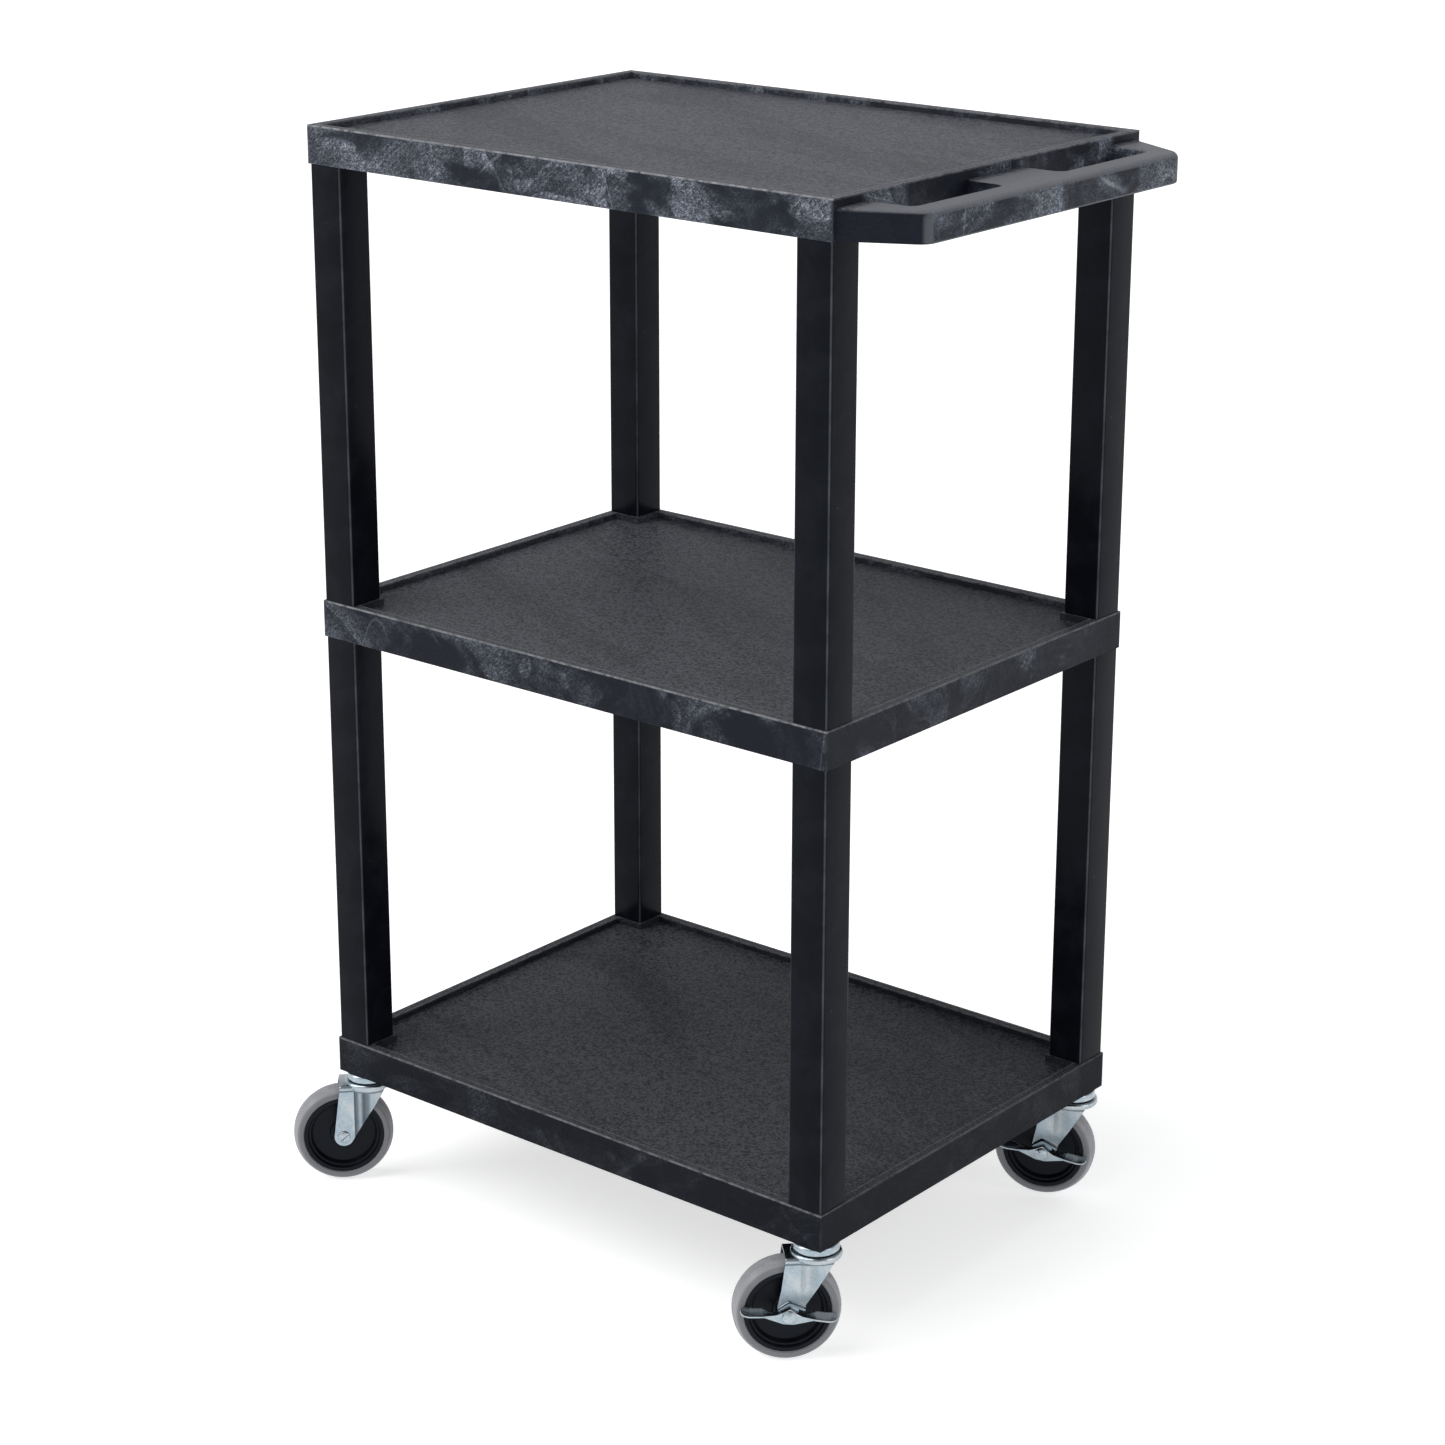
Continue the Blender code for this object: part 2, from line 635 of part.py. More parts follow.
def wheel(where, axle):
    """The moulded hub with its dished faces, and the grey tyre on it."""
    facet = math.pi / WHEEL_SEGMENTS
    flat = 1 / math.cos(facet)  # a facet's middle, not its edge, lies at the tyre's radius
    tyre_half = [
        (WHEEL_R * flat, 5.0 * MM),
        (48.3 * MM * flat, 10.5 * MM),
        (44.2 * MM, TYRE_HALF),
        (HUB_R + GAP, HUB_HALF),
    ]
    hub_half = [
        (HUB_R, HUB_HALF),
        (36.2 * MM, HUB_HALF),
        (29.5 * MM, 4.0 * MM),
        (BOSS_R, 4.0 * MM),
        (BOSS_R, BOSS_HALF),
        (BUSHING_R + GAP, BOSS_HALF),
    ]
    for name, half, material in (
        (f"tyre_{where}", tyre_half, GREY_RUBBER),
        (f"wheel_hub_{where}", hub_half, HUB_BLACK),
    ):
        ring = turned(name, both_sides(half), WHEEL_SEGMENTS, ring=True, axis="Y", first_angle=facet)
        place(ring, name, material, axle)


def pedal_centreline():
    """The pedal from the side: upturned tips, long wings and a peak over the axle."""
    half = [(6.0, 3.6), (12.0, 0.8), (25.0, -1.5), (36.0, -2.2), (41.0, -0.8), (44.5, 2.2)]
    points = [(-u, v) for u, v in reversed(half)] + [(0.0, 8.0)] + half
    return [(u * MM, v * MM) for u, v in points]


def brake_pedal(where, axle):
    """The stamped rocker that locks the wheel when its trailing wing is pressed down."""
    pivot = empty(f"pedal_pivot_{where}", (0, 0, 0), parent=axle)
    pivot.rotation_euler = (0.0, -PEDAL_TILT, 0.0)
    line = pedal_centreline()
    strip = plate("pedal", [band(line, PEDAL_T)], PEDAL_INNER, PEDAL_OUTER, "Y")
    clear = 18 * MM  # the wings pass the fork leg, the middle stays in front of it
    notch = box(
        "notch", (-clear, PEDAL_INNER - 5 * MM, -20 * MM), (clear, FORK_OUTER + 0.5 * MM, 20 * MM)
    )
    combine(strip, notch, "DIFFERENCE")
    upper = [p for p in line if abs(p[0]) <= 25.5 * MM]
    web = plate(
        "web",
        [[*upper, (4 * MM, -9.6 * MM), (-4 * MM, -9.6 * MM)]],
        PEDAL_OUTER - 0.1 * MM - PEDAL_T,
        PEDAL_OUTER - 0.1 * MM,
        "Y",
    )
    combine(strip, web, "UNION")
    hole = cylinder("hole", AXLE_R + GAP, (0, 0, 0), (0, 2 * PEDAL_OUTER, 0), 12)
    combine(strip, hole, "DIFFERENCE")
    place(strip, f"brake_pedal_{where}", ZINC, pivot)


def caster(where, corner, cart):
    """One swivel caster and its socket."""
    turn = math.radians(AXLE_ANGLE[where] - 90)
    braked = where in BRAKED
    swivel = empty(f"swivel_{where}", (corner[0] * LEG_X, corner[1] * LEG_Y, 0.0), turn, cart)
    axle = empty(f"axle_{where}", (TRAIL, 0.0, WHEEL_R), parent=swivel)
    stem_socket(where, swivel)
    caster_stem(where, swivel)
    grip_ring(where, swivel)
    ball_race(where, swivel)
    fork(where, swivel, braked)
    axle_bolt(where, axle, braked)
    axle_nut(where, axle)
    wheel_bushing(where, axle)
    wheel(where, axle)
    if braked:
        brake_pedal(where, axle)


def main():
    cart = empty("cart", CART_SHIFT)
    frame(cart)
    for where, corner in CORNERS.items():
        caster(where, corner, cart)
    for obj in PARTS.objects:
        if obj.type == "MESH":
            obj.data.shade_smooth()
            obj.data.set_sharp_from_angle(angle=math.radians(35))


main()
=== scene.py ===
"""The finished look of the rolling utility cart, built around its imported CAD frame.

Metres, +Z up, +X towards the push handle, -Y the front. Shelves are modelled about the middle of their
rim's top. A caster's pieces are modelled with x along its trail, y along the axle towards the front, and
z up from the floor under the swivel, and are then turned to where the frame's joints hold them.
"""

import bisect
import json
import math

import bmesh
import bpy
import numpy as np
from mathutils import Euler, Matrix, Vector


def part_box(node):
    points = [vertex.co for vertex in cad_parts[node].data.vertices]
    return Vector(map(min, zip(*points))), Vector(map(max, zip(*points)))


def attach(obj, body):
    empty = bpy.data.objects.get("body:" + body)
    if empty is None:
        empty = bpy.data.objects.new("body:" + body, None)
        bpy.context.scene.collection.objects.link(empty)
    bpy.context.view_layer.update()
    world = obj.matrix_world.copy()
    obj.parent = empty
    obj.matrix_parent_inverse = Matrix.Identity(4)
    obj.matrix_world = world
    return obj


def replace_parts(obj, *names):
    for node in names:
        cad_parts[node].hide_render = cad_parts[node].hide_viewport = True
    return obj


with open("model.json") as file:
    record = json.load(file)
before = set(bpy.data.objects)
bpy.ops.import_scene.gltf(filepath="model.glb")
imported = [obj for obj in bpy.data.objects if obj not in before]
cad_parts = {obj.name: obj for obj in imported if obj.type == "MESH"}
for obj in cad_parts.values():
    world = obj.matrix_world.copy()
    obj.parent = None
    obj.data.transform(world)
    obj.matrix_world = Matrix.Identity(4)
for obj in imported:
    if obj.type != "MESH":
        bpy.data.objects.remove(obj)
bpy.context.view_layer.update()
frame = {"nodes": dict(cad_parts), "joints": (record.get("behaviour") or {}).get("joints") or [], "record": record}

MM = 0.001
JOINTS = {joint["name"]: joint for joint in frame["joints"]}
MOUNTS = {mount["name"]: mount for mount in frame["record"]["mounts"]}
CORNERS = ("front_left", "front_right", "rear_right", "rear_left")
BRAKED = ("front_right", "rear_right")

# Shelves
HALF_X = 304.8 * MM
HALF_Y = 228.6 * MM
SHELF_H = 36.0 * MM
RIM_W = 9.0 * MM
RIM_H = 6.35 * MM
DECK_T = 4.5 * MM
SKIRT_T = 6.0 * MM
RIB_T = 3.0 * MM
POCKETS_X = 6
POCKETS_Y = 5
PAD_MARGIN = 2.0 * MM
BLOCK_SINK = 0.5 * MM
SHELF_ROUND = {"corner": 4.2 * MM, "rim": 1.0 * MM, "deck": 1.3 * MM, "edge": 0.6 * MM}

# Push handle
HANDLE_REACH = 69.0 * MM
HANDLE_LOW = -35.6 * MM
HANDLE_TOP = -8.0 * MM
HANDLE_BAR = 27.0 * MM
HANDLE_END_Y = 190.0 * MM
HANDLE_ROUND = 17.0 * MM
SLOT_END_Y = 178.0 * MM
SLOT_ROUND = 9.0 * MM
WEB_HALF = 42.0 * MM
WEB_ROUND = 12.0 * MM
ROOT_X = HALF_X - 3.0 * MM

# Legs
LEG_HALF = 19.0 * MM
LEG_ROUND = 3.0 * MM
LEG_WALL = 2.2 * MM

# Casters
GAP = 0.3 * MM
WHEEL_R = 50.0 * MM
WHEEL_SEGMENTS = 96
TYRE_HALF = 13.5 * MM
HUB_R = 40.3 * MM
HUB_HALF = 12.5 * MM
BOSS_R = 10.6 * MM
BOSS_HALF = 14.2 * MM
BUSHING_R = 5.8 * MM
FORK_INNER = 14.6 * MM
FORK_T = 2.4 * MM
FORK_OUTER = FORK_INNER + FORK_T
FORK_REAR = 29.6 * MM
FORK_FRONT = -17.0 * MM
FORK_BEND = 3.5 * MM
CREASE_X = 16.3 * MM
FLARE_LOW = 56.0 * MM
FOOT_END_Y = FORK_OUTER + 3.6 * MM
FOOT_BEND = 2.6 * MM
FOOT_CORNER = 5.0 * MM
FOOT_BLEND_Z = WHEEL_R + 25.0 * MM
LUG_R = 9.7 * MM
CROWN_TOP = 105.0 * MM
CROWN_R = 24.0 * MM
RACE_PLATE_R = 21.7 * MM
RACE_R = 15.0 * MM
BALL_R = 2.0 * MM
BALL_COUNT = 20
STEM_R = 5.5 * MM
AXLE_R = 4.0 * MM
AXLE_HOLE_R = AXLE_R + GAP
AXLE_HEAD_R = 6.3 * MM
AXLE_HEAD_H = 2.6 * MM
THREAD_PITCH = 0.8 * MM
THREAD_DEPTH = 0.45 * MM
SLOT_HALF = (9.0 * MM, 0.85 * MM)
NUT_R = 7.2 * MM
NUT_T = 4.0 * MM
PEDAL_OUTER = 23.0 * MM
PEDAL_T = 1.6 * MM
PEDAL_RISE = 4.6 * MM
PEDAL_CURL = 4.2 * MM
PEDAL_WEB_HALF = 25.2 * MM
PEDAL_TILT = math.radians(6.5)

# Along a pedal from its axle: where its slope grows, and where it starts to reach in past the fork
PEDAL_SLOPE = (10.0 * MM, 22.0 * MM)
PEDAL_CLEAR = (17.0 * MM, 21.0 * MM)

# A braked fork's folded foot, in mm: how far behind the axle, and how far above it
FOOT_LINE = ((-15.5, 4.7), (-13.0, 6.2), (-7.0, 9.0), (-1.5, 11.4))
FOOT_LINE += ((0.0, 11.7), (1.6, 10.9), (8.6, 6.2), (10.2, 4.4))

# Looks: the plastic's grain in cycles per metre, each shelf's painted light (lower shelves darker as the
# shelves above shade them), and the painted shade bands across a fork leg, standing for dark reflections, as
# (share of its width from the crease, darkness)
GRAIN = 400.0
SHELF_PAINTED_LIGHT = {"bottom": 0.60, "middle": 0.85, "top": 1.06}
PAINTED_SHADE_BANDS = ((0.0, 0.0), (0.02, 1.0), (0.09, 0.85), (0.19, 0.35), (0.30, 0.95), (0.42, 0.75), (0.55, 0.10))

# Camera: the photograph's viewing angle, with its angles in degrees
LENS = 84.4
LENS_SHIFT = (0.03, -0.05)
AZIMUTH = 39.99
ELEVATION = 17.72
ROLL = -0.11
CAMERA_PLACE = (1.947, -2.376, 1.554)


# ---- materials


class Look:
    """The shader of a material or of the world, and short ways of adding nodes to it."""

    def __init__(self, owner, shader="Principled BSDF"):
        owner.use_nodes = True
        self.owner = owner
        self.nodes = owner.node_tree.nodes
        self.links = owner.node_tree.links
        self.shader = self.nodes[shader]
        self.coordinates = self.node("TexCoord").outputs
        self.place = self.coordinates["Object"]

    def plug(self, socket, value):
        """Links an output to a socket, or sets the socket to a constant."""
        if isinstance(value, bpy.types.NodeSocket):
            self.links.new(value, socket)
        else:
            socket.default_value = value

    def node(self, kind, **sockets):
        """A new node with outputs or constants on its named sockets."""
        made = self.nodes.new(f"ShaderNode{kind}")
        for name, value in sockets.items():
            self.plug(made.inputs[name], value)
        return made

    def set(self, **values):
        """Constants on the shader's own sockets: specular_ior_level sets "Specular IOR Level"."""
        by_key = {socket.name.lower().replace(" ", "_"): socket for socket in self.shader.inputs}
        for key, value in values.items():
            by_key[key].default_value = value

    def feed(self, name, value):
        """Links an output to one of the shader's own sockets."""
        self.plug(self.shader.inputs[name], value)

    def math(self, operation, first, second=0.0, clamp=False):
        """One Math node's result."""
        made = self.node("Math")
        made.operation = operation
        made.use_clamp = clamp
        self.plug(made.inputs[0], first)
        self.plug(made.inputs[1], second)
        return made.outputs[0]

    def plus(self, first, second, clamp=False):
        """The sum of two values."""
        return self.math("ADD", first, second, clamp)

    def times(self, *factors):
        """The product of two or more values."""
        product = factors[0]
        for factor in factors[1:]:
            product = self.math("MULTIPLY", product, factor)
        return product

    def off(self, value, middle=0.0):
        """How far a value lies from a middle, on either side."""
        if middle:
            value = self.math("SUBTRACT", value, middle)
        return self.math("ABSOLUTE", value)

    def remap(self, value, low, high, to_low=0.0, to_high=1.0):
        """Smooth step from low to high, scaled to the new range."""
        made = self.node("MapRange")
        made.interpolation_type = "SMOOTHSTEP"
        for socket, number in zip(made.inputs, (value, low, high, to_low, to_high)):
            self.plug(socket, number)
        return made.outputs[0]

    def turned(self, place, angles, scale, shift=(0.0, 0.0, 0.0)):
        """Coordinates turned by angles in degrees, then scaled axis by axis, for stretched patterns."""
        turn = self.node("Mapping", Vector=place, Rotation=[math.radians(a) for a in angles], Location=shift)
        return self.node("Mapping", Vector=turn.outputs[0], Scale=scale).outputs[0]

    def noise(self, place, scale, detail=2.0, roughness=0.5, distortion=0.0):
        """Fractal noise around 0.5, with a scale in cycles per metre."""
        made = self.node("TexNoise", Vector=place, Scale=scale, Detail=detail, Roughness=roughness)
        made.inputs["Distortion"].default_value = distortion
        return made.outputs[0]

    def split(self, vector):
        """The three components of a vector."""
        return self.node("SeparateXYZ", Vector=vector).outputs

    def blend(self, factor, first, second, how="MIX"):
        """One colour or value over another, by a factor."""
        made = self.node("Mix")
        made.data_type = "RGBA"
        made.blend_type = how
        self.plug(made.inputs["Factor"], factor)
        for socket, colour in ((made.inputs[6], first), (made.inputs[7], second)):
            self.plug(socket, colour if isinstance(colour, bpy.types.NodeSocket) else (*colour, 1.0))
        return made.outputs[2]

    def bump(self, height, depth, **under):
        """Relief whose height runs from 0 to 1 times depth, in metres, over any Normal given."""
        return self.node("Bump", Height=height, Distance=depth, **under).outputs[0]


def look(name):
    """A new material's look."""
    return Look(bpy.data.materials.new(name))


def flow_marks(s, place, x):
    """Flow marks for upright faces: how strong they are, and the relief that goes with them.

    Pale frosted clouds have wrinkles like leather inside them, and thin weld lines run where flows met.
    """
    cloud = s.noise(s.turned(place, (0, 0, 0), (1, 1, 1.5)), 11.0, 5.0, 0.56, 0.9)
    cloud = s.plus(cloud, s.remap(x, -0.30, 0.05, 0.07, 0.0))
    patches = s.remap(cloud, 0.44, 0.62)
    swirl = s.noise(s.turned(place, (-25, 20, 15), (230, 230, 620)), 1.0, 4.0, 0.7, 2.2)
    streaks = s.noise(s.turned(place, (40, 34, 0), (50, 50, 760)), 1.0, 2.0, 0.6, 0.2)
    pores = s.noise(place, GRAIN, 3.0, 0.75, 0.5)
    wrinkles = s.remap(swirl, 0.38, 0.62)
    combed = s.times(s.remap(streaks, 0.35, 0.65, 0.60, 1.0), s.remap(pores, 0.38, 0.62, 0.30, 1.0))
    texture = s.times(s.remap(wrinkles, 0.0, 1.0, 0.20, 1.15), combed)
    fold = s.math("FRACT", s.times(s.noise(place, 6.5, 2.0, 0.5, 0.6), 7.0))
    swept = s.times(s.remap(fold, 0.0, 0.95, 0.30, 1.0), s.remap(fold, 1.0, 0.95, 0.30, 1.0))
    marks = s.times(patches, swept, texture)
    veil = s.remap(s.noise(place, 24.0, 4.0, 0.62, 0.8), 0.45, 0.72, 0.0, 0.16)
    marks = s.plus(marks, s.times(veil, texture), clamp=True)
    meeting = s.off(s.noise(place, 5.5, 1.0, 0.4, 0.3), 0.5)
    weld = s.times(s.remap(meeting, 0.005, 0.0), s.remap(cloud, 0.42, 0.55))
    marks = s.plus(marks, s.times(weld, 0.22), clamp=True)
    relief = s.plus(s.times(wrinkles, 0.6), s.times(pores, 0.4))
    return marks, s.times(relief, s.remap(patches, 0.0, 1.0, 0.35, 1.0))


def edge_wear_and_highlights(s, place, across, along, z):
    """Pale lines along the rim's outer top edge and its inner lip and, less, down the shelf's corners: partly
    wear, partly painted highlight, weaker along the x ends.
    """
    outer_x = s.remap(across, HALF_X - 2.0 * MM, HALF_X - 0.7 * MM, 0.0, 0.45)
    outer_y = s.remap(along, HALF_Y - 2.0 * MM, HALF_Y - 0.7 * MM)
    brim = s.remap(z, -2.1 * MM, -0.9 * MM)
    to_lip = s.math("MINIMUM", s.off(across, HALF_X - RIM_W), s.off(along, HALF_Y - RIM_W))
    lip = s.remap(to_lip, 1.7 * MM, 0.6 * MM, 0.0, 0.70)
    wear_and_highlight = s.times(s.math("MAXIMUM", s.math("MAXIMUM", outer_x, outer_y), lip), brim)
    wear_and_highlight = s.math("MAXIMUM", wear_and_highlight, s.times(outer_x, outer_y, 0.22))
    return s.times(wear_and_highlight, s.remap(s.noise(place, 130.0, 3.0, 0.7), 0.30, 0.62, 0.15, 0.85))


def charcoal_plastic(seed, painted_light):
    """Moulded charcoal polyethylene: fine-grained decks, cloudy flow marks and weld lines on the sides.

    Its colours carry painted light: darker on the lower shelves, which the shelves above shade.
    """
    s = look(f"charcoal_plastic_{seed}")

    # Painted light: colours are scaled for the shelf's place, darker on lower shelves that the shelves above
    # shade.
    def shaded(*colour):
        return tuple(channel * painted_light for channel in colour)

    place = s.turned(s.place, (0, 0, 0), (1, 1, 1), (1.7 * seed, 0.9 * seed, 0.4 * seed))
    x, y, z = s.split(s.place)
    across, along = s.off(x), s.off(y)
    outward, _, upward = s.split(s.coordinates["Normal"])
    up = s.remap(upward, 0.35, 0.85)
    steep = s.math("SUBTRACT", 1.0, up)

    # Upright faces, with few flow marks on the handle's arms, and fewer on faces that look down: a painted shade
    marks, relief = flow_marks(s, place, x)
    at_end = s.remap(along, HANDLE_END_Y - 10 * MM, HANDLE_END_Y + 2 * MM)
    arm = s.times(at_end, s.remap(x, HALF_X - 4 * MM, HALF_X + 1 * MM))
    marks = s.times(marks, s.remap(arm, 0.0, 1.0, 1.0, 0.02), s.remap(upward, -0.8, -0.3, 0.3, 1.0))
    # Painted light also dims the pale flow marks on the lower shelves.
    marks_painted_light = painted_light**3.2
    pale = (0.315 * marks_painted_light, 0.348 * marks_painted_light, 0.412 * marks_painted_light)
    side = s.blend(marks, shaded(0.0058, 0.0072, 0.0125), pale)

    # Upward faces: pebble grain, faint darker sweeps, and a paler grip bar
    grain = s.noise(place, GRAIN, 4.0, 0.8)
    pebble = s.plus(s.times(grain, 0.86), s.times(s.noise(place, 150.0, 3.0, 0.7), 0.14))
    speckle = s.remap(pebble, 0.37, 0.63)
    sweep = s.remap(s.noise(s.turned(place, (0, 0, 24), (2.6, 9.0, 1)), 1.0, 4.0, 0.6, 1.0), 0.34, 0.60)
    shade = s.times(s.remap(sweep, 0.0, 1.0, 0.70, 1.0), s.remap(speckle, 0.0, 1.0, 0.0, 1.30))
    top = s.blend(shade, shaded(0.008, 0.009, 0.011), shaded(0.125, 0.128, 0.146))
    on_grip = s.remap(x, HALF_X + 6 * MM, HALF_X + 14 * MM)
    top = s.blend(s.times(on_grip, 0.75), top, shaded(0.165, 0.168, 0.182))

    # The rim's inner walls are a little paler. The handle's rounded outer corners get a painted highlight, paler
    # where they turn.
    inside = ((across, HALF_X - RIM_W), (along, HALF_Y - RIM_W))
    within = s.times(*(s.remap(w, edge + 2 * MM, edge + 1 * MM) for w, edge in inside))
    wall = s.times(within, s.remap(z, -RIM_H - 1 * MM, -RIM_H, 0.0, 0.15))
    side = s.blend(wall, side, shaded(0.100, 0.105, 0.118))
    # Painted highlight on the handle's rounded outer corners.
    bend = s.times(s.remap(outward, 0.62, 0.82), s.remap(outward, 0.995, 0.95))
    corner_highlight = s.times(bend, s.remap(x, HALF_X + 30 * MM, HALF_X + 40 * MM, 0.0, 0.6))
    side = s.blend(corner_highlight, side, shaded(0.115, 0.120, 0.132))

    # Pale edge lines: partly wear, partly painted highlight.
    wear_and_highlight = edge_wear_and_highlights(s, place, across, along, z)
    s.feed("Base Color", s.blend(wear_and_highlight, s.blend(up, side, top), shaded(0.29, 0.295, 0.315)))
    rough_side = s.remap(marks, 0.0, 1.0, 0.44, 0.68)
    rough_top = s.remap(speckle, 0.0, 1.0, 0.46, 0.60)
    s.feed("Roughness", s.plus(s.times(rough_side, steep), s.times(rough_top, up)))
    s.set(specular_ior_level=0.11 * painted_light, specular_tint=(0.80, 0.89, 1.0, 1.0))
    side_bump = s.bump(s.times(relief, steep), 0.70 * MM)
    s.feed("Normal", s.bump(s.times(grain, up), 0.75 * MM, Normal=side_bump))
    return s.owner


def gloss_black():
    """Glossy extruded black tube: faint draw lines, a soft waviness, a little dust and a painted highlight along
    its rounded corners.
    """
    s = look("gloss_black_pvc")
    waves = s.noise(s.turned(s.place, (0, 0, 0), (30, 30, 5)), 1.0, 2.0)
    draw = s.noise(s.turned(s.place, (0, 0, 0), (900, 900, 2)), 1.0, 2.0)
    smudge = s.noise(s.place, 22.0, 4.0, 0.6, 0.5)
    specks = s.node("TexVoronoi", Vector=s.place, Scale=75.0).outputs["Distance"]
    dust = s.times(s.remap(specks, 0.030, 0.018), s.remap(s.noise(s.place, 9.0, 1.0), 0.50, 0.60))
    x, y, _ = s.split(s.place)
    # Painted highlight: the rounded corners are paler, as if they caught the light.
    corner = s.times(*(s.remap(s.off(w), LEG_HALF - 2.2 * MM, LEG_HALF - 0.8 * MM) for w in (x, y)))
    tint = s.blend(s.remap(smudge, 0.35, 0.7), (0.0026, 0.0032, 0.0050), (0.0056, 0.0064, 0.0094))
    tint = s.blend(s.times(corner, s.remap(smudge, 0.3, 0.7, 0.4, 1.0)), tint, (0.075, 0.080, 0.090))
    s.feed("Base Color", s.blend(dust, tint, (0.16, 0.165, 0.175)))
    s.feed("Roughness", s.remap(smudge, 0.3, 0.75, 0.17, 0.30))
    s.set(specular_ior_level=0.06, specular_tint=(0.78, 0.87, 1.0, 1.0))
    s.feed("Normal", s.bump(s.plus(waves, s.times(draw, 0.04)), 0.35 * MM))
    return s.owner


def painted_fork_shade(s, crease, foot):
    """How strong the painted shade on a fork is: dark bands beside the crease that stand for dark reflections,
    a dark line under the crown's fold, and shade above the folded foot.
    """
    x, y, z = s.split(s.place)
    share = s.math("DIVIDE", s.math("SUBTRACT", CREASE_X, x), CREASE_X - FORK_FRONT)
    bands = s.node("ValToRGB", Fac=share)
    ramp = bands.color_ramp
    ramp.interpolation = "EASE"
    for at, dark in PAINTED_SHADE_BANDS:
        stop = ramp.elements.new(at) if at else ramp.elements[0]
        stop.position = at
        stop.color = (dark, dark, dark, 1.0)
    ramp.elements[-1].color = (0.0, 0.0, 0.0, 1.0)
    outside = s.remap(s.off(y), FORK_OUTER - 1.2 * MM, FORK_OUTER - 0.4 * MM)
    below = s.remap(z, CROWN_TOP - 3.0 * MM, CROWN_TOP - 6.0 * MM)
    painted_shade = s.times(bands.outputs[0], crease, s.times(outside, below))
    # Painted reflection: a dark line just under the crown's fold.
    fold = s.times(s.remap(s.off(z, CROWN_TOP - 5.2 * MM), 1.6 * MM, 0.4 * MM), 0.7)
    painted_shade = s.math("MAXIMUM", painted_shade, s.times(fold, outside))
    # Painted shade above a braked fork's folded foot.
    foot_shade = s.times(s.remap(z, WHEEL_R + 27 * MM, WHEEL_R + 13 * MM), s.remap(y, 0.0, FORK_INNER))
    return s.math("MAXIMUM", painted_shade, s.times(foot_shade, foot))


def zinc_steel(name, crease=0.0, foot=0.0):
    """Bright zinc plate with a bluish passivated film that drifts in hue, and fine handling marks.

    On a fork, crease and foot say how strong its painted shade is: dark bands beside the crease that stand for
    reflections of dark surroundings, and shade above a folded foot.
    """
    s = look(name)
    drift = s.noise(s.place, 55.0, 3.0, 0.55, 0.8)
    blue = s.blend(s.remap(drift, 0.35, 0.65), (0.33, 0.405, 0.46), (0.46, 0.505, 0.53))
    warm = s.remap(s.noise(s.place, 38.0, 2.0, 0.5, 1.5), 0.58, 0.72, 0.0, 0.45)
    film = s.blend(warm, blue, (0.47, 0.465, 0.41))
    spangle = s.remap(s.noise(s.place, 420.0, 2.0, 0.6), 0.3, 0.7, 0.88, 1.0)
    colour = s.blend(1.0, film, spangle, "MULTIPLY")
    # Painted shade: dark bands that stand for reflections of dark surroundings near the crease, crown fold and
    # foot.
    if crease:
        colour = s.blend(painted_fork_shade(s, crease, foot), colour, (0.035, 0.055, 0.075))
    s.feed("Base Color", colour)
    scratches = s.noise(s.turned(s.place, (20, 35, 10), (90, 1400, 90)), 1.0, 3.0, 0.6)
    s.feed("Roughness", s.remap(scratches, 0.3, 0.75, 0.16, 0.30))
    s.set(metallic=1.0)
    s.feed("Normal", s.bump(s.plus(scratches, s.noise(s.place, 210.0, 2.0)), 0.05 * MM))
    return s.owner


def black_nylon():
    """Satin black moulded hub."""
    s = look("black_nylon")
    mottle = s.noise(s.place, 90.0, 3.0, 0.6)
    s.feed("Base Color", s.blend(mottle, (0.0018, 0.0021, 0.0036), (0.0054, 0.0062, 0.0092)))
    s.feed("Roughness", s.remap(mottle, 0.3, 0.7, 0.28, 0.42))
    s.set(specular_ior_level=0.14, specular_tint=(0.80, 0.89, 1.0, 1.0))
    s.feed("Normal", s.bump(s.noise(s.place, 700.0, 2.0, 0.6), 0.06 * MM))
    return s.owner


def grey_rubber():
    """Pale grey thermoplastic rubber tread, faintly soiled where it rolls, with painted shade on its flat side
    walls.
    """
    s = look("grey_rubber")
    mottle = s.noise(s.place, 60.0, 4.0, 0.6, 0.4)
    clean = s.blend(s.remap(mottle, 0.3, 0.7), (0.225, 0.228, 0.242), (0.285, 0.288, 0.303))
    across = s.off(s.split(s.place)[1])
    # Painted shade: the flat side walls are darker than the tread.
    wall = s.remap(across, 11.4 * MM, 12.9 * MM, 0.0, 0.75)
    clean = s.blend(wall, clean, (0.125, 0.128, 0.137))
    tread = s.remap(across, 8.0 * MM, 4.5 * MM)
    scuffs = s.times(tread, s.remap(s.noise(s.place, 240.0, 3.0, 0.7), 0.42, 0.62, 0.0, 0.35))
    s.feed("Base Color", s.blend(scuffs, clean, (0.15, 0.15, 0.155)))
    s.feed("Roughness", s.remap(mottle, 0.3, 0.7, 0.52, 0.66))
    s.set(specular_ior_level=0.4)
    s.feed("Normal", s.bump(s.noise(s.place, 900.0, 2.0, 0.6), 0.05 * MM))
    return s.owner


GLOSS_BLACK = gloss_black()
ZINC = zinc_steel("zinc_steel")
PLAIN_FORK_ZINC_PAINTED_SHADE = zinc_steel("zinc_steel_plain_fork", 0.92)
BRAKED_FORK_ZINC_PAINTED_SHADE = zinc_steel("zinc_steel_braked_fork", 0.26, 0.55)
LOOKS = {
    "steel": (ZINC, "zinc_steel"),
    "nylon": (black_nylon(), "black_nylon"),
    "rubber": (grey_rubber(), "grey_rubber"),
}


# ---- mesh tools


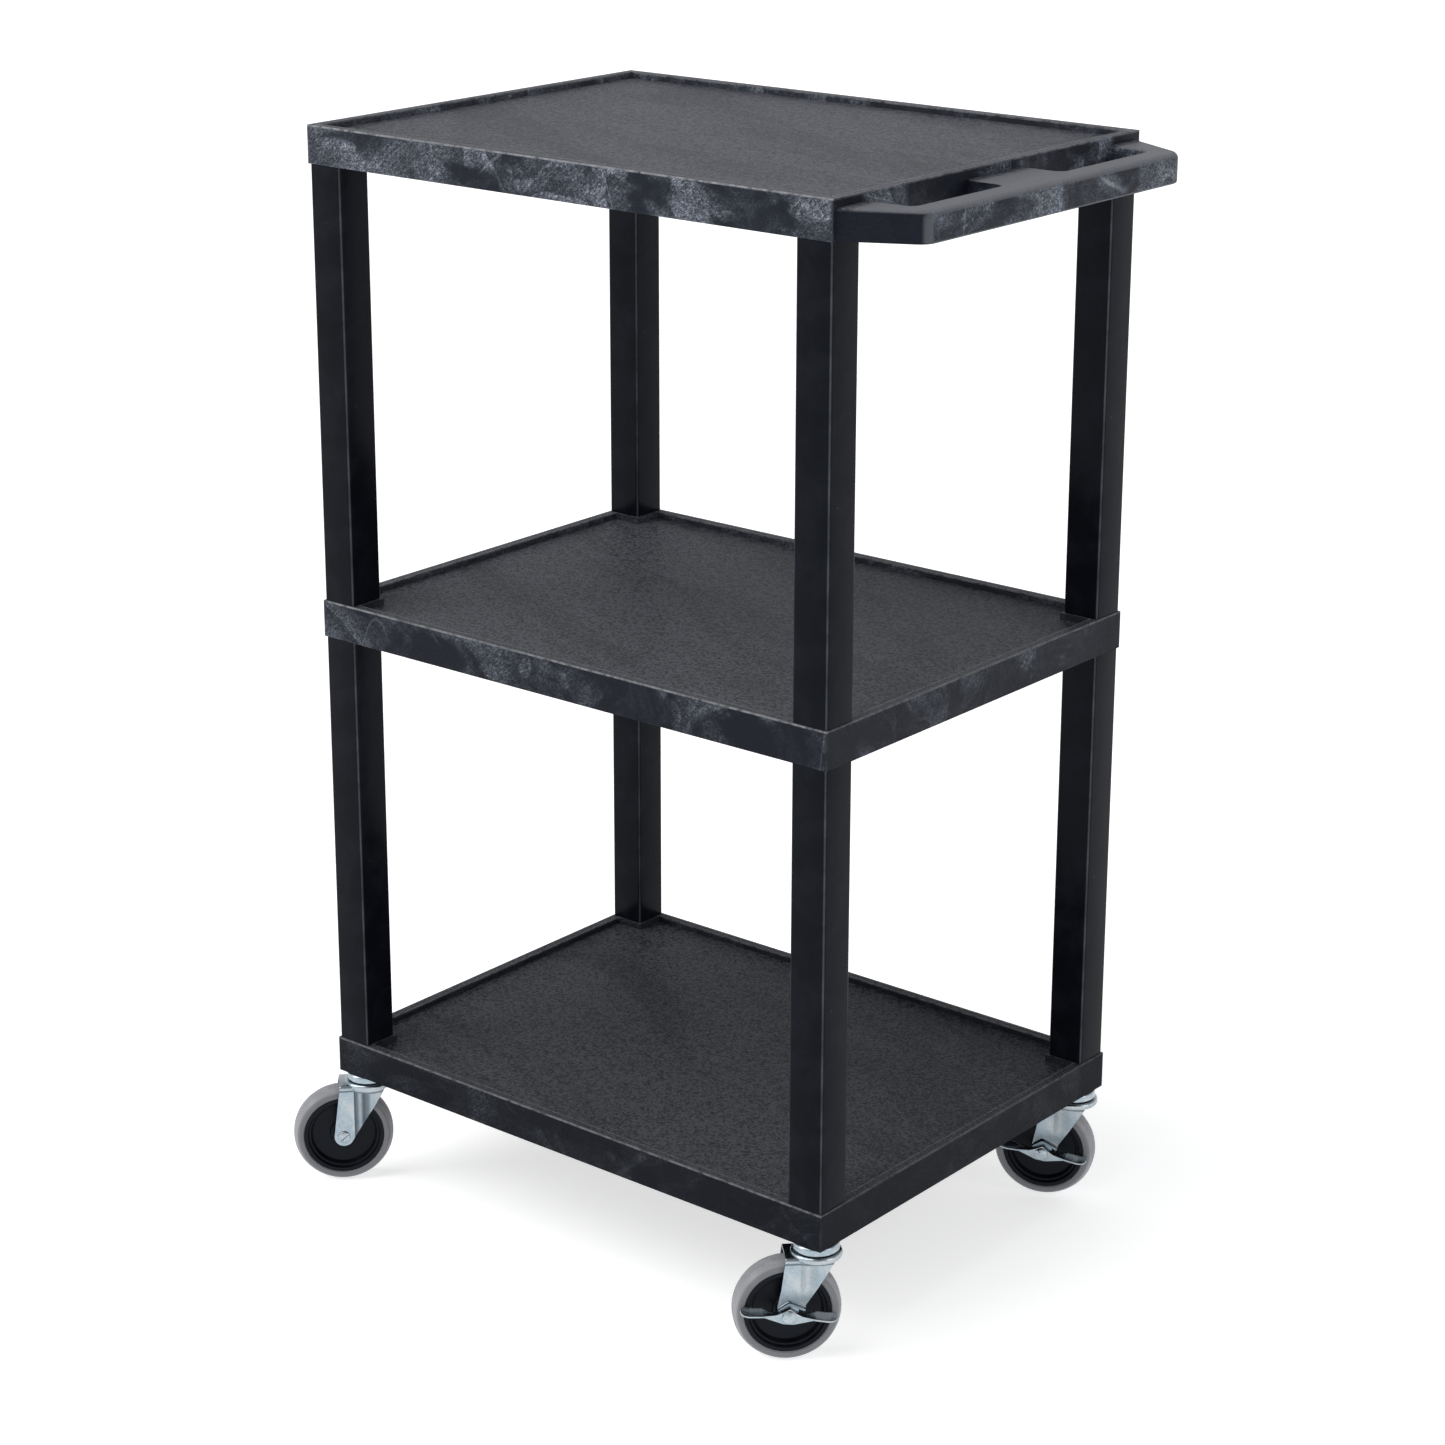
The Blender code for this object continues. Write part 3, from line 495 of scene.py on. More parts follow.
def piece(name, bm, material, place=None, sharp=30.0):
    """An object from a finished bmesh, smooth but for edges sharper than an angle in degrees."""
    bmesh.ops.recalc_face_normals(bm, faces=bm.faces)
    mesh = bpy.data.meshes.new(name)
    bm.to_mesh(mesh)
    bm.free()
    mesh.materials.append(material)
    mesh.shade_smooth()
    mesh.set_sharp_from_angle(angle=math.radians(sharp))
    obj = bpy.data.objects.new(name, mesh)
    bpy.context.scene.collection.objects.link(obj)
    obj.matrix_world = place or Matrix.Identity(4)
    return obj


def stands_for(obj, body, slot, *nodes):
    """Says which body a piece rides and which CAD nodes it replaces; its slot is not used."""
    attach(obj, body)
    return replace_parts(obj, *nodes)


def bevel(obj, width, segments=3, by_weight=False, angle=30.0):
    """Rounds edges sharper than an angle in degrees, or each edge by its own weight."""
    made = obj.modifiers.new("round_edges", "BEVEL")
    made.width = width
    made.segments = segments
    made.limit_method = "WEIGHT" if by_weight else "ANGLE"
    made.angle_limit = math.radians(angle)
    return obj


def solidify(obj, thickness):
    """Gives a surface a thickness, inwards from its outer face."""
    made = obj.modifiers.new("sheet", "SOLIDIFY")
    made.thickness = thickness
    made.offset = -1.0
    made.use_even_offset = True
    return obj


def bake(obj, sharp=30.0):
    """Replaces an object's mesh by what its modifiers make of it."""
    bpy.context.view_layer.update()
    graph = bpy.context.evaluated_depsgraph_get()
    mesh = bpy.data.meshes.new_from_object(obj.evaluated_get(graph))
    obj.modifiers.clear()
    obj.data = mesh
    mesh.shade_smooth()
    mesh.set_sharp_from_angle(angle=math.radians(sharp))
    return obj


def boolean(obj, tool, operation, sharp=30.0):
    """Joins or cuts with another mesh, which is then gone."""
    step = obj.modifiers.new(operation.lower(), "BOOLEAN")
    step.operation = operation
    step.object = tool
    step.solver = "EXACT"
    bake(obj, sharp)
    bpy.data.objects.remove(tool, do_unlink=True)
    return obj


def arc(centre, radius, start, end, steps):
    """Points on an arc, with its angles in degrees."""
    angles = [math.radians(start + (end - start) * i / steps) for i in range(steps + 1)]
    return [(centre[0] + radius * math.cos(a), centre[1] + radius * math.sin(a)) for a in angles]


def rounded(corners, steps=4, closed=True):
    """An outline through (u, v, radius) corners, each rounded to its own radius."""
    points = [Vector(corner[:2]) for corner in corners]
    outline = []
    for i, (here, corner) in enumerate(zip(points, corners)):
        radius = corner[2] if len(corner) > 2 else 0.0
        if radius == 0.0 or (not closed and i in (0, len(points) - 1)):
            outline.append(tuple(here))
            continue
        back = (points[i - 1] - here).normalized()
        ahead = (points[(i + 1) % len(points)] - here).normalized()
        half = back.angle(ahead) / 2
        centre = here + (back + ahead).normalized() * radius / math.sin(half)
        first = here + back * radius / math.tan(half) - centre
        last = here + ahead * radius / math.tan(half) - centre
        start = math.atan2(first.y, first.x)
        sweep = math.atan2(first.x * last.y - first.y * last.x, first.dot(last))
        for k in range(steps + 1):
            angle = start + sweep * k / steps
            outline.append((centre.x + radius * math.cos(angle), centre.y + radius * math.sin(angle)))
    return outline


def stitch(bm, first, second, closed=True):
    """Quads between two rows of vertices."""
    count = len(first)
    for i in range(count if closed else count - 1):
        j = (i + 1) % count
        corners = [first[i], first[j], second[j], second[i]]
        if len(set(corners)) == 4:
            bm.faces.new(corners)


def loft(rings, loop=False):
    """A skin through closed rings of 3-D points, with flat ends or joined end to end."""
    bm = bmesh.new()
    rows = [[bm.verts.new(point) for point in ring] for ring in rings]
    for first, second in zip(rows, rows[1:]):
        stitch(bm, first, second)
    if loop:
        stitch(bm, rows[-1], rows[0])
    else:
        bm.faces.new(rows[0][::-1])
        bm.faces.new(rows[-1])
    return bm


def lathe(profile, segments, about="Z"):
    """A closed (radius, height) profile turned about an axis. Points at radius 0 become poles."""
    bm = bmesh.new()
    rows = []
    for radius, height in profile:
        if radius < 1e-7:
            rows.append([bm.verts.new((0, 0, height))])
            continue
        turns = [2 * math.pi * k / segments for k in range(segments)]
        rows.append([bm.verts.new((radius * math.cos(a), radius * math.sin(a), height)) for a in turns])
    open_ended = len(rows[0]) == 1 and len(rows[-1]) == 1
    pairs = list(zip(rows, rows[1:])) + ([] if open_ended else [(rows[-1], rows[0])])
    for first, second in pairs:
        if len(first) == 1 or len(second) == 1:
            pole, ring = (first[0], second) if len(first) == 1 else (second[0], first)
            for k in range(segments):
                bm.faces.new((pole, ring[k], ring[(k + 1) % segments]))
        else:
            stitch(bm, first, second)
    if about == "Y":
        bmesh.ops.rotate(bm, verts=bm.verts, matrix=Matrix.Rotation(-math.pi / 2, 3, "X"))
    return bm


def progress(value, low, high):
    """How far a value has come from low to high, held between 0 and 1."""
    return min(max((value - low) / (high - low), 0.0), 1.0)


def slab(outline, low, high, along="Z"):
    """A closed outline extruded from low to high: (x, y) along Z or (x, z) along Y."""
    if along == "Z":
        return loft([[(u, v, w) for u, v in outline] for w in (low, high)])
    return loft([[(u, w, v) for u, v in outline] for w in (low, high)])


def blocks(steps):
    """The surface of boxes added (True) and cut away (False) in turn, as square-cornered quads."""
    cuts = [sorted({round(edge[i], 6) for _, low, high in steps for edge in (low, high)}) for i in range(3)]

    def cell_at(corner):
        """The index of the cell that starts at a corner."""
        return [bisect.bisect_left(cuts[i], round(corner[i], 6)) for i in range(3)]

    solid = np.zeros([len(c) - 1 for c in cuts], bool)
    for added, low, high in steps:
        solid[tuple(slice(*ends) for ends in zip(cell_at(low), cell_at(high)))] = added
    around = np.pad(solid, 1).astype(int)
    bm = bmesh.new()
    made = {}

    def vertex(index):
        if index not in made:
            made[index] = bm.verts.new([cuts[i][index[i]] for i in range(3)])
        return made[index]

    for axis in range(3):
        u, v = (axis + 1) % 3, (axis + 2) % 3
        walls = np.diff(around, axis=axis)
        for cell in np.argwhere(walls):
            corners = []
            for step_u, step_v in ((0, 0), (1, 0), (1, 1), (0, 1)):
                index = [0, 0, 0]
                index[axis] = int(cell[axis])
                index[u] = int(cell[u]) - 1 + step_u
                index[v] = int(cell[v]) - 1 + step_v
                corners.append(vertex(tuple(index)))
            if walls[tuple(cell)] > 0:
                corners.reverse()
            bm.faces.new(corners)
    return bm


# ---- shelves


def shelf_blocks(legs_above, leg_reach):
    """The boxes that make a tray shelf, from its rim's top at z = 0 down."""
    wide_x, wide_y = HALF_X - RIM_W, HALF_Y - RIM_W
    pad_x, pad_y = HALF_X - leg_reach - PAD_MARGIN, HALF_Y - leg_reach - PAD_MARGIN
    steps = [(True, (-HALF_X, -HALF_Y, -SHELF_H), (HALF_X, HALF_Y, 0.0))]
    wells = ((wide_x, pad_y), (pad_x, wide_y)) if legs_above else ((wide_x, wide_y),)
    steps += [(False, (-u, -v, -RIM_H), (u, v, 0.0)) for u, v in wells]
    inner_x, inner_y = HALF_X - SKIRT_T, HALF_Y - SKIRT_T
    pitch_x = (2 * inner_x + RIB_T) / POCKETS_X
    pitch_y = (2 * inner_y + RIB_T) / POCKETS_Y
    for i in range(POCKETS_X):
        for j in range(POCKETS_Y):
            low = (-inner_x + i * pitch_x, -inner_y + j * pitch_y, -SHELF_H)
            high = (low[0] + pitch_x - RIB_T, low[1] + pitch_y - RIB_T, -RIM_H - DECK_T)
            steps.append((False, low, high))
    for side_x in (-1, 1):
        for side_y in (-1, 1):
            ends_x = sorted((side_x * pad_x, side_x * inner_x))
            ends_y = sorted((side_y * pad_y, side_y * inner_y))
            low = (ends_x[0], ends_y[0], -SHELF_H + BLOCK_SINK)
            steps.append((True, low, (ends_x[1], ends_y[1], -RIM_H - DECK_T)))
    return steps


def weigh_edges(bm):
    """Gives each edge the share of the widest bevel that its place calls for."""
    layer = bm.edges.layers.float.new("bevel_weight_edge")
    near = 0.05 * MM
    for edge in bm.edges:
        if len(edge.link_faces) != 2 or edge.calc_face_angle(0.0) < math.radians(30):
            continue
        first, second = edge.verts[0].co, edge.verts[1].co
        middle = (first + second) / 2
        upright = abs(first.z - second.z) > near
        outer = abs(abs(middle.x) - HALF_X) < near, abs(abs(middle.y) - HALF_Y) < near
        if upright and all(outer):
            kind = "corner"
        elif abs(middle.z) < near:
            kind = "rim"
        elif abs(middle.z + RIM_H) < near and not any(outer):
            kind = "deck"
        else:
            kind = "edge"
        edge[layer] = SHELF_ROUND[kind] / SHELF_ROUND["corner"]


def handle_section(outer, inner):
    """A closed ring round the handle between a point on its outer path and one on its inner path."""
    outer, inner = Vector(outer), Vector(inner)
    width = (inner - outer).length
    across = (inner - outer) / width
    ring = [
        (0.0, HANDLE_LOW, 2.2 * MM),
        (0.0, HANDLE_TOP, 5.5 * MM),
        (width, HANDLE_TOP, 4.5 * MM),
        (width, HANDLE_LOW, 2.2 * MM),
    ]
    return [(*(outer + across * u), v) for u, v in rounded(ring, 5)]


def handle():
    """Slanting arms and grip bar as one loft from shelf to shelf."""
    end_x = HALF_X + HANDLE_REACH
    bar_x = end_x - HANDLE_BAR
    outer = [(ROOT_X, HALF_Y - 1 * MM), (end_x, HANDLE_END_Y, HANDLE_ROUND), (end_x, 0.0)]
    inner = [(ROOT_X, SLOT_END_Y), (bar_x, SLOT_END_Y, SLOT_ROUND), (bar_x, 0.0)]
    outer, inner = (rounded(path, 8, closed=False) for path in (outer, inner))
    half = [handle_section(o, i) for o, i in zip(outer, inner)]
    other = [[(x, -y, z) for x, y, z in ring] for ring in half[-2::-1]]
    return loft(half + other)


def handle_web():
    """The plate that joins the grip bar's middle to the shelf, filleted into the bar."""
    bar_x = HALF_X + HANDLE_REACH - HANDLE_BAR
    fillet = arc((bar_x - WEB_ROUND, WEB_HALF + WEB_ROUND), WEB_ROUND, -90, 0, 8)
    side = [(ROOT_X, WEB_HALF), *fillet, (bar_x + 3 * MM, WEB_HALF + WEB_ROUND)]
    outline = side + [(x, -y) for x, y in reversed(side)]
    web = piece("web", slab(outline, HANDLE_LOW + 1 * MM, HANDLE_TOP - 1.2 * MM), GLOSS_BLACK)
    bevel(web, 1.4 * MM, 3, angle=50)
    return bake(web)


def shelf(level, seed, painted_light):
    """A tray shelf, with the push handle on the top one."""
    deck = MOUNTS[f"{level}_deck"]["pos_m"]
    place = Matrix.Translation((deck[0], deck[1], deck[2] + RIM_H))
    leg_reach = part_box("lower_leg_front_left")[1].x - (deck[0] - HALF_X)
    bm = blocks(shelf_blocks(level != "top", leg_reach))
    weigh_edges(bm)
    material = charcoal_plastic(seed, painted_light)
    tray = piece(f"{level}_shelf", bm, material)
    bevel(tray, SHELF_ROUND["corner"], 3, by_weight=True)
    bake(tray)
    if level == "top":
        grip = piece("grip", handle(), material)
        boolean(grip, handle_web(), "UNION")
        boolean(tray, grip, "UNION")
    tray.data.materials.clear()
    tray.data.materials.append(material)
    tray.matrix_world = place
    stands_for(tray, "cart", "charcoal_plastic", f"{level}_shelf")


def leg(name):
    """A square tube with round outer edges."""
    low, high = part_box(name)
    middle = (low + high) / 2
    outer = (high.x - low.x) / 2

    def ring(inset, height):
        """A rounded square, set in from the tube's outer face."""
        half, radius = outer - inset, LEG_ROUND - inset
        corners = [(u * half, v * half, radius) for u, v in ((1, 1), (-1, 1), (-1, -1), (1, -1))]
        return [(u, v, height) for u, v in rounded(corners, steps=6)]

    chamfer = 0.4 * MM
    bottom, top = low.z - middle.z, high.z - middle.z
    rings = [
        ring(chamfer, bottom),
        ring(0.0, bottom + chamfer),
        ring(0.0, top - chamfer),
        ring(chamfer, top),
        ring(LEG_WALL, top),
        ring(LEG_WALL, bottom),
    ]
    tube = piece(f"{name}_tube", loft(rings, loop=True), GLOSS_BLACK, Matrix.Translation(middle), sharp=40)
    stands_for(tube, "cart", "gloss_black_pvc", name)


# ---- casters


def mirrored_profile(half):
    """A wheel's closed profile from its +y half, which runs from the outside of the middle inwards."""
    return half + [(r, -h) for r, h in reversed(half)]


def tyre():
    """Crowned tread and flat walls about the hub, with a soft shoulder between them."""
    half = [
        (WHEEL_R, 0.3 * MM),
        (WHEEL_R - 0.1 * MM, 5.0 * MM, 12.0 * MM),
        (WHEEL_R - 2.6 * MM, 11.4 * MM, 4.0 * MM),
        (WHEEL_R - 5.2 * MM, TYRE_HALF, 0.8 * MM),
        (41.2 * MM, TYRE_HALF - 0.2 * MM, 0.5 * MM),
        (HUB_R + 0.05 * MM, HUB_HALF - 0.4 * MM),
    ]
    return lathe(mirrored_profile(rounded(half, 5, closed=False)), WHEEL_SEGMENTS, about="Y")


def hub():
    """Flat rim, stepped and dished wall, flat web and a boss."""
    side = [
        (HUB_R, HUB_HALF, 0.6 * MM),
        (36.4 * MM, HUB_HALF, 0.8 * MM),
        (35.0 * MM, 9.3 * MM, 0.5 * MM),
        (33.4 * MM, 9.0 * MM, 0.5 * MM),
        (31.2 * MM, 4.6 * MM, 1.2 * MM),
        (14.2 * MM, 4.0 * MM, 0.8 * MM),
        (13.2 * MM, 6.0 * MM, 0.8 * MM),
        (BOSS_R, 6.4 * MM, 0.6 * MM),
        (BOSS_R - 0.6 * MM, BOSS_HALF, 0.8 * MM),
        (BUSHING_R + GAP, BOSS_HALF, 0.4 * MM),
        (BUSHING_R + GAP, 0.0),
    ]
    half = [(HUB_R, HUB_HALF - 0.6 * MM)] + rounded(side, 3, closed=False)[1:-1]
    return lathe(mirrored_profile(half), WHEEL_SEGMENTS, about="Y")


def bushing():
    """The sleeve that the hub turns on."""
    corners = ((BUSHING_R, 1), (AXLE_HOLE_R, 1), (AXLE_HOLE_R, -1), (BUSHING_R, -1))
    wall = [(radius, end * BOSS_HALF, 0.3 * MM) for radius, end in corners]
    return lathe(rounded(wall, 2), 40, about="Y")


def stem():
    """Stem, domed race plate over the balls, and the riveted end under the fork's crown."""
    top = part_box("bottom_shelf")[0].z - GAP
    tip = top + 37 * MM
    groove, groove_r = top + 29.3 * MM, STEM_R - 1.2 * MM
    skirt = top - 7.9 * MM
    below = CROWN_TOP - FORK_T - GAP
    corners = [
        (0.0, tip),
        (STEM_R, tip, 1.2 * MM),
        (STEM_R, groove + 3 * MM, 0.3 * MM),
        (groove_r, groove + 3 * MM, 0.3 * MM),
        (groove_r, groove, 0.3 * MM),
        (STEM_R, groove, 0.3 * MM),
        (STEM_R, top, 0.8 * MM),
        (RACE_PLATE_R, top - 0.3 * MM, 2.8 * MM),
        (RACE_PLATE_R - 0.5 * MM, top - 4.1 * MM, 1.6 * MM),
        (RACE_PLATE_R + 0.3 * MM, skirt, 1.4 * MM),
        (RACE_R + 2.6 * MM, skirt, 0.6 * MM),
        (RACE_R + 2.4 * MM, top - 6.4 * MM, 0.8 * MM),
        (RACE_R - 2.4 * MM, top - 6.4 * MM, 0.8 * MM),
        (RACE_R - 2.6 * MM, CROWN_TOP + 0.3 * MM, 0.4 * MM),
        (5.0 * MM, CROWN_TOP + 0.3 * MM, 0.2 * MM),
        (5.0 * MM, below, 0.1 * MM),
        (8.0 * MM, below, 0.3 * MM),
        (6.6 * MM, below - 2.3 * MM, 1.2 * MM),
        (0.0, below - 2.6 * MM),
    ]
    return lathe(rounded(corners, 4, closed=False), 64)


def ball_ring():
    """The loose balls between the races."""
    bm = bmesh.new()
    for k in range(BALL_COUNT):
        angle = 2 * math.pi * k / BALL_COUNT
        centre = (RACE_R * math.cos(angle), RACE_R * math.sin(angle), CROWN_TOP + BALL_R + 0.35 * MM)
        bmesh.ops.create_icosphere(bm, subdivisions=2, radius=BALL_R, matrix=Matrix.Translation(centre))
    return bm


def crown():
    """The rolled race on the fork's top, a cap with a rounded brim."""
    corners = [
        (5.3 * MM, CROWN_TOP - 0.2 * MM),
        (12.0 * MM, CROWN_TOP - 0.2 * MM, 0.6 * MM),
        (17.8 * MM, CROWN_TOP - 0.3 * MM, 1.0 * MM),
        (19.0 * MM, CROWN_TOP + 2.2 * MM, 1.0 * MM),
        (CROWN_R, CROWN_TOP + 2.2 * MM, 2.6 * MM),
        (CROWN_R, CROWN_TOP - 4.2 * MM, 2.4 * MM),
        (FORK_OUTER - 0.5 * MM, CROWN_TOP - 4.4 * MM, 0.5 * MM),
        (FORK_OUTER - 0.5 * MM, CROWN_TOP - 2.1 * MM, 0.5 * MM),
        (5.3 * MM, CROWN_TOP - 2.1 * MM),
    ]
    return lathe(rounded(corners, 5), 72)


def fork_edge(trail, z, corner_x, side):
    """The x of a fork leg's edge at a height: straight down to the round lug end, and round it below."""
    away = Vector((corner_x, CROWN_TOP)) - Vector((trail, WHEEL_R))
    angle = math.atan2(away.y, away.x) - side * math.acos(LUG_R / away.length)
    touch = Vector((trail + LUG_R * math.cos(angle), WHEEL_R + LUG_R * math.sin(angle)))
    if z >= touch.y:
        return touch.x + (corner_x - touch.x) * (z - touch.y) / (CROWN_TOP - touch.y)
    return trail + side * math.sqrt(max(LUG_R**2 - (z - WHEEL_R) ** 2, 0.0))


def fork_stations(trail, z):
    """The x of a fork leg's trailing edge, crease and leading edge at a height."""
    front, rear = fork_edge(trail, z, FORK_FRONT, -1), fork_edge(trail, z, FORK_REAR, 1)
    crease = min(max(CREASE_X, front + 0.04 * (rear - front)), rear - 0.25 * (rear - front))
    return rear, crease, front


def fork_flare(x, z, crease, depth):
    """How far the sheet stands outside the flat leg: round under the crown, dying away downwards."""
    if x >= crease:
        return 0.0
    reach = math.sqrt(CROWN_R**2 - FORK_OUTER**2)
    u = x * reach / crease if x > 0 else x
    bulge = max(math.sqrt(max(CROWN_R**2 - u * u, 0.0)) - FORK_OUTER, 0.0)
    return depth * bulge * progress(z, FLARE_LOW, CROWN_TOP - 4 * MM) ** 1.2


def foot_height(u):
    """The height above the axle of a braked fork's folded foot, by the distance behind the axle."""
    return float(np.interp(u / MM, *zip(*FOOT_LINE))) * MM


def foot_rows(trail, columns):
    """Rows from the foot's outer edge round its bend to where the leg stands upright."""
    rear, front = FOOT_LINE[-1][0] * MM, FOOT_LINE[0][0] * MM
    middle, half = (rear + front) / 2, (rear - front) / 2
    stations = [middle + half * math.cos(math.pi * i / (columns - 1)) for i in range(columns)]
    rows = []
    for step in range(8):
        row = []
        for u in stations:
            corner = progress(min(u - front, rear - u), 0.0, FOOT_CORNER)
            if step == 0:
                out, up = FOOT_BEND + (FOOT_END_Y - FORK_OUTER - FOOT_BEND) * math.sqrt(corner), 0.0
            else:
                angle = math.radians(90 * (step - 1) / 6)
                out, up = FOOT_BEND * (1 - math.sin(angle)), FOOT_BEND * (1 - math.cos(angle))
            row.append((trail + u, FORK_OUTER + out, WHEEL_R + foot_height(u) + FORK_T / 2 + up))
        rows.append(row)
    return rows


def fork_sheet(trail, braked):
    """Both legs and the top of the fork as one folded sheet, its outer face."""
    strip = [k / 8 for k in range(8)]
    panel = [k / 14 for k in range(15)]
    depth = 0.45 if braked else 0.95

    def row(z):
        """x stations across a leg at a height: from the trailing edge over the crease to the front."""
        rear, fold, front = fork_stations(trail, z)
        behind = [rear + (fold - rear) * share for share in strip]
        return behind + [fold + (front - fold) * share for share in panel]

    def upright(z):
        fold = fork_stations(trail, z)[1]
        return [(x, FORK_OUTER + fork_flare(x, z, fold, depth), z) for x in row(z)]

    bend_z = CROWN_TOP - FORK_BEND
    lug_heights = [WHEEL_R - LUG_R + 0.02 * MM]
    lug_heights += [WHEEL_R - LUG_R * math.cos(math.radians(a)) for a in range(15, 91, 15)]
    far = [upright(z) for z in lug_heights + [WHEEL_R + (bend_z - WHEEL_R) * k / 16 for k in range(1, 17)]]
    near = list(far)
    if braked:
        near = foot_rows(trail, len(strip) + len(panel))
        last, level = near[-1], upright(FOOT_BLEND_Z)
        for k in range(1, 5):
            near.append([tuple(Vector(a).lerp(Vector(b), k / 4)) for a, b in zip(last, level)])
        near += [upright(FOOT_BLEND_Z + (bend_z - FOOT_BLEND_Z) * k / 9) for k in range(1, 10)]
    bend = []
    fold = fork_stations(trail, bend_z)[1]
    for k in range(1, 9):
        angle = math.radians(90 * k / 8)
        z = bend_z + FORK_BEND * math.sin(angle)
        inset = FORK_BEND * (1 - math.cos(angle))
        bend.append([(x, FORK_OUTER - inset + fork_flare(x, bend_z, fold, depth), z) for x in row(z)])
    rows = near + bend + [[(x, 0.0, CROWN_TOP) for x in row(CROWN_TOP)]]
    rows += [[(x, -y, z) for x, y, z in line_of] for line_of in reversed(far + bend)]
    bm = bmesh.new()
    made = [[bm.verts.new(point) for point in line_of] for line_of in rows]
    for first, second in zip(made, made[1:]):
        stitch(bm, first, second, closed=False)
    return bm


def axle_lug(trail):
    """The lug behind the pedal, inside a braked fork's near leg, that carries the axle."""
    round_end = [(trail + u, WHEEL_R + v) for u, v in arc((0, 0), LUG_R, -180, 0, 16)]
    right = [(LUG_R - 0.6 * MM, 6 * MM), (LUG_R - 3 * MM, 14 * MM)]
    shoulders = right + [(-u, v) for u, v in reversed(right)]
    outline = round_end + [(trail + u, WHEEL_R + v) for u, v in shoulders]
    return slab(outline, FORK_INNER - 0.2 * MM, FORK_OUTER - GAP, "Y")


def axle_hole(obj, trail, height, sharp=30.0):
    """Cuts the axle's hole through a piece."""
    reach = FORK_OUTER + 10 * MM
    wall = [(0.0, -reach), (AXLE_HOLE_R, -reach), (AXLE_HOLE_R, reach), (0.0, reach)]
    bore = piece("bore", lathe(wall, 40, about="Y"), ZINC, Matrix.Translation((trail, 0.0, height)))
    return boolean(obj, bore, "DIFFERENCE", sharp)


def fork(name, trail, braked, place):
    """A folded fork with its crown, and on a braked caster the lug behind the pedal."""
    body = piece(name, fork_sheet(trail, braked), BRAKED_FORK_ZINC_PAINTED_SHADE if braked else PLAIN_FORK_ZINC_PAINTED_SHADE, sharp=13)
    solidify(body, FORK_T)
    bevel(body, 0.45 * MM, 2, angle=50)
    bake(body)
    axle_hole(body, trail, WHEEL_R, sharp=24)
    parts = [piece("crown", crown(), ZINC)]
    if braked:
        lug = bevel(piece("lug", axle_lug(trail), ZINC), 0.4 * MM, 2, angle=50)
        parts.append(axle_hole(lug, trail, WHEEL_R))
    join(body, parts)
    body.matrix_world = place
    return body


def join(body, parts):
    """Adds other pieces' faces to a piece, with their materials."""
    bm = bmesh.new()
    bm.from_mesh(body.data)
    for part in parts:
        known = len(bm.faces)
        bm.from_mesh(part.data)
        material = part.data.materials[0]
        if material.name not in body.data.materials:
            body.data.materials.append(material)
        index = body.data.materials.find(material.name)
        bm.faces.ensure_lookup_table()
        for face in bm.faces[known:]:
            face.material_index = index
        bpy.data.objects.remove(part, do_unlink=True)
    bm.to_mesh(body.data)
    bm.free()
    return body


def axle_bolt(name, braked, place):
    """Pan head, slotted on a plain caster, with a threaded end."""
    seat = (PEDAL_OUTER if braked else FORK_OUTER) + GAP
    tail = FORK_OUTER + GAP + NUT_T + 1.2 * MM
    head = [
        (0.0, seat + AXLE_HEAD_H),
        (2.4 * MM, seat + AXLE_HEAD_H - 0.15 * MM, 1.0 * MM),
        (4.8 * MM, seat + AXLE_HEAD_H - 0.9 * MM, 2.0 * MM),
        (AXLE_HEAD_R, seat + 0.9 * MM, 0.8 * MM),
        (AXLE_HEAD_R, seat, 0.2 * MM),
        (AXLE_R, seat, 0.2 * MM),
    ]
    thread = []
    start = -FORK_OUTER
    while start - THREAD_PITCH > -tail:
        thread += [(AXLE_R, start), (AXLE_R - THREAD_DEPTH, start - THREAD_PITCH / 2)]
        start -= THREAD_PITCH
    end = [(AXLE_R, start), (AXLE_R - 0.7 * MM, -tail), (0.0, -tail)]
    profile = rounded(head, 4, closed=False) + thread + end
    bolt = piece(name, lathe(profile, 48, about="Y"), ZINC)
    if not braked:
        u, v = SLOT_HALF
        outline = [(-u, -v), (u, -v), (u, v), (-u, v)]
        cutter = piece("slot", slab(outline, seat + 0.8 * MM, seat + 6 * MM, "Y"), ZINC)
        cutter.matrix_world = Matrix.Rotation(math.radians(40), 4, "Y")
        boolean(bolt, cutter, "DIFFERENCE")
    bolt.matrix_world = place
    return bolt


def axle_nut():
    """A hexagon nut with chamfered corners."""
    rings = []
    inner, outer = -FORK_OUTER - GAP, -FORK_OUTER - GAP - NUT_T
    chamfer = 0.6 * MM
    hexagon = arc((0, 0), NUT_R, 0, 300, 5)
    fine = []
    for a, b in zip(hexagon, hexagon[1:] + hexagon[:1]):
        fine += [Vector(a) * (1 - share) + Vector(b) * share for share in (0, 0.25, 0.5, 0.75)]
    flat = NUT_R * math.cos(math.pi / 6)
    for height, limit in ((inner, flat), (inner - chamfer, NUT_R), (outer + chamfer, NUT_R), (outer, flat)):
        rings.append([(*(p.normalized() * min(p.length, limit)), height) for p in fine])
    for height in (outer, inner):
        rings.append([(*(p.normalized() * AXLE_HOLE_R), height) for p in fine])
    bm = loft(rings, loop=True)
    bmesh.ops.transform(bm, verts=bm.verts, matrix=Matrix.Rotation(-math.pi / 2, 4, "X"))
    return bm


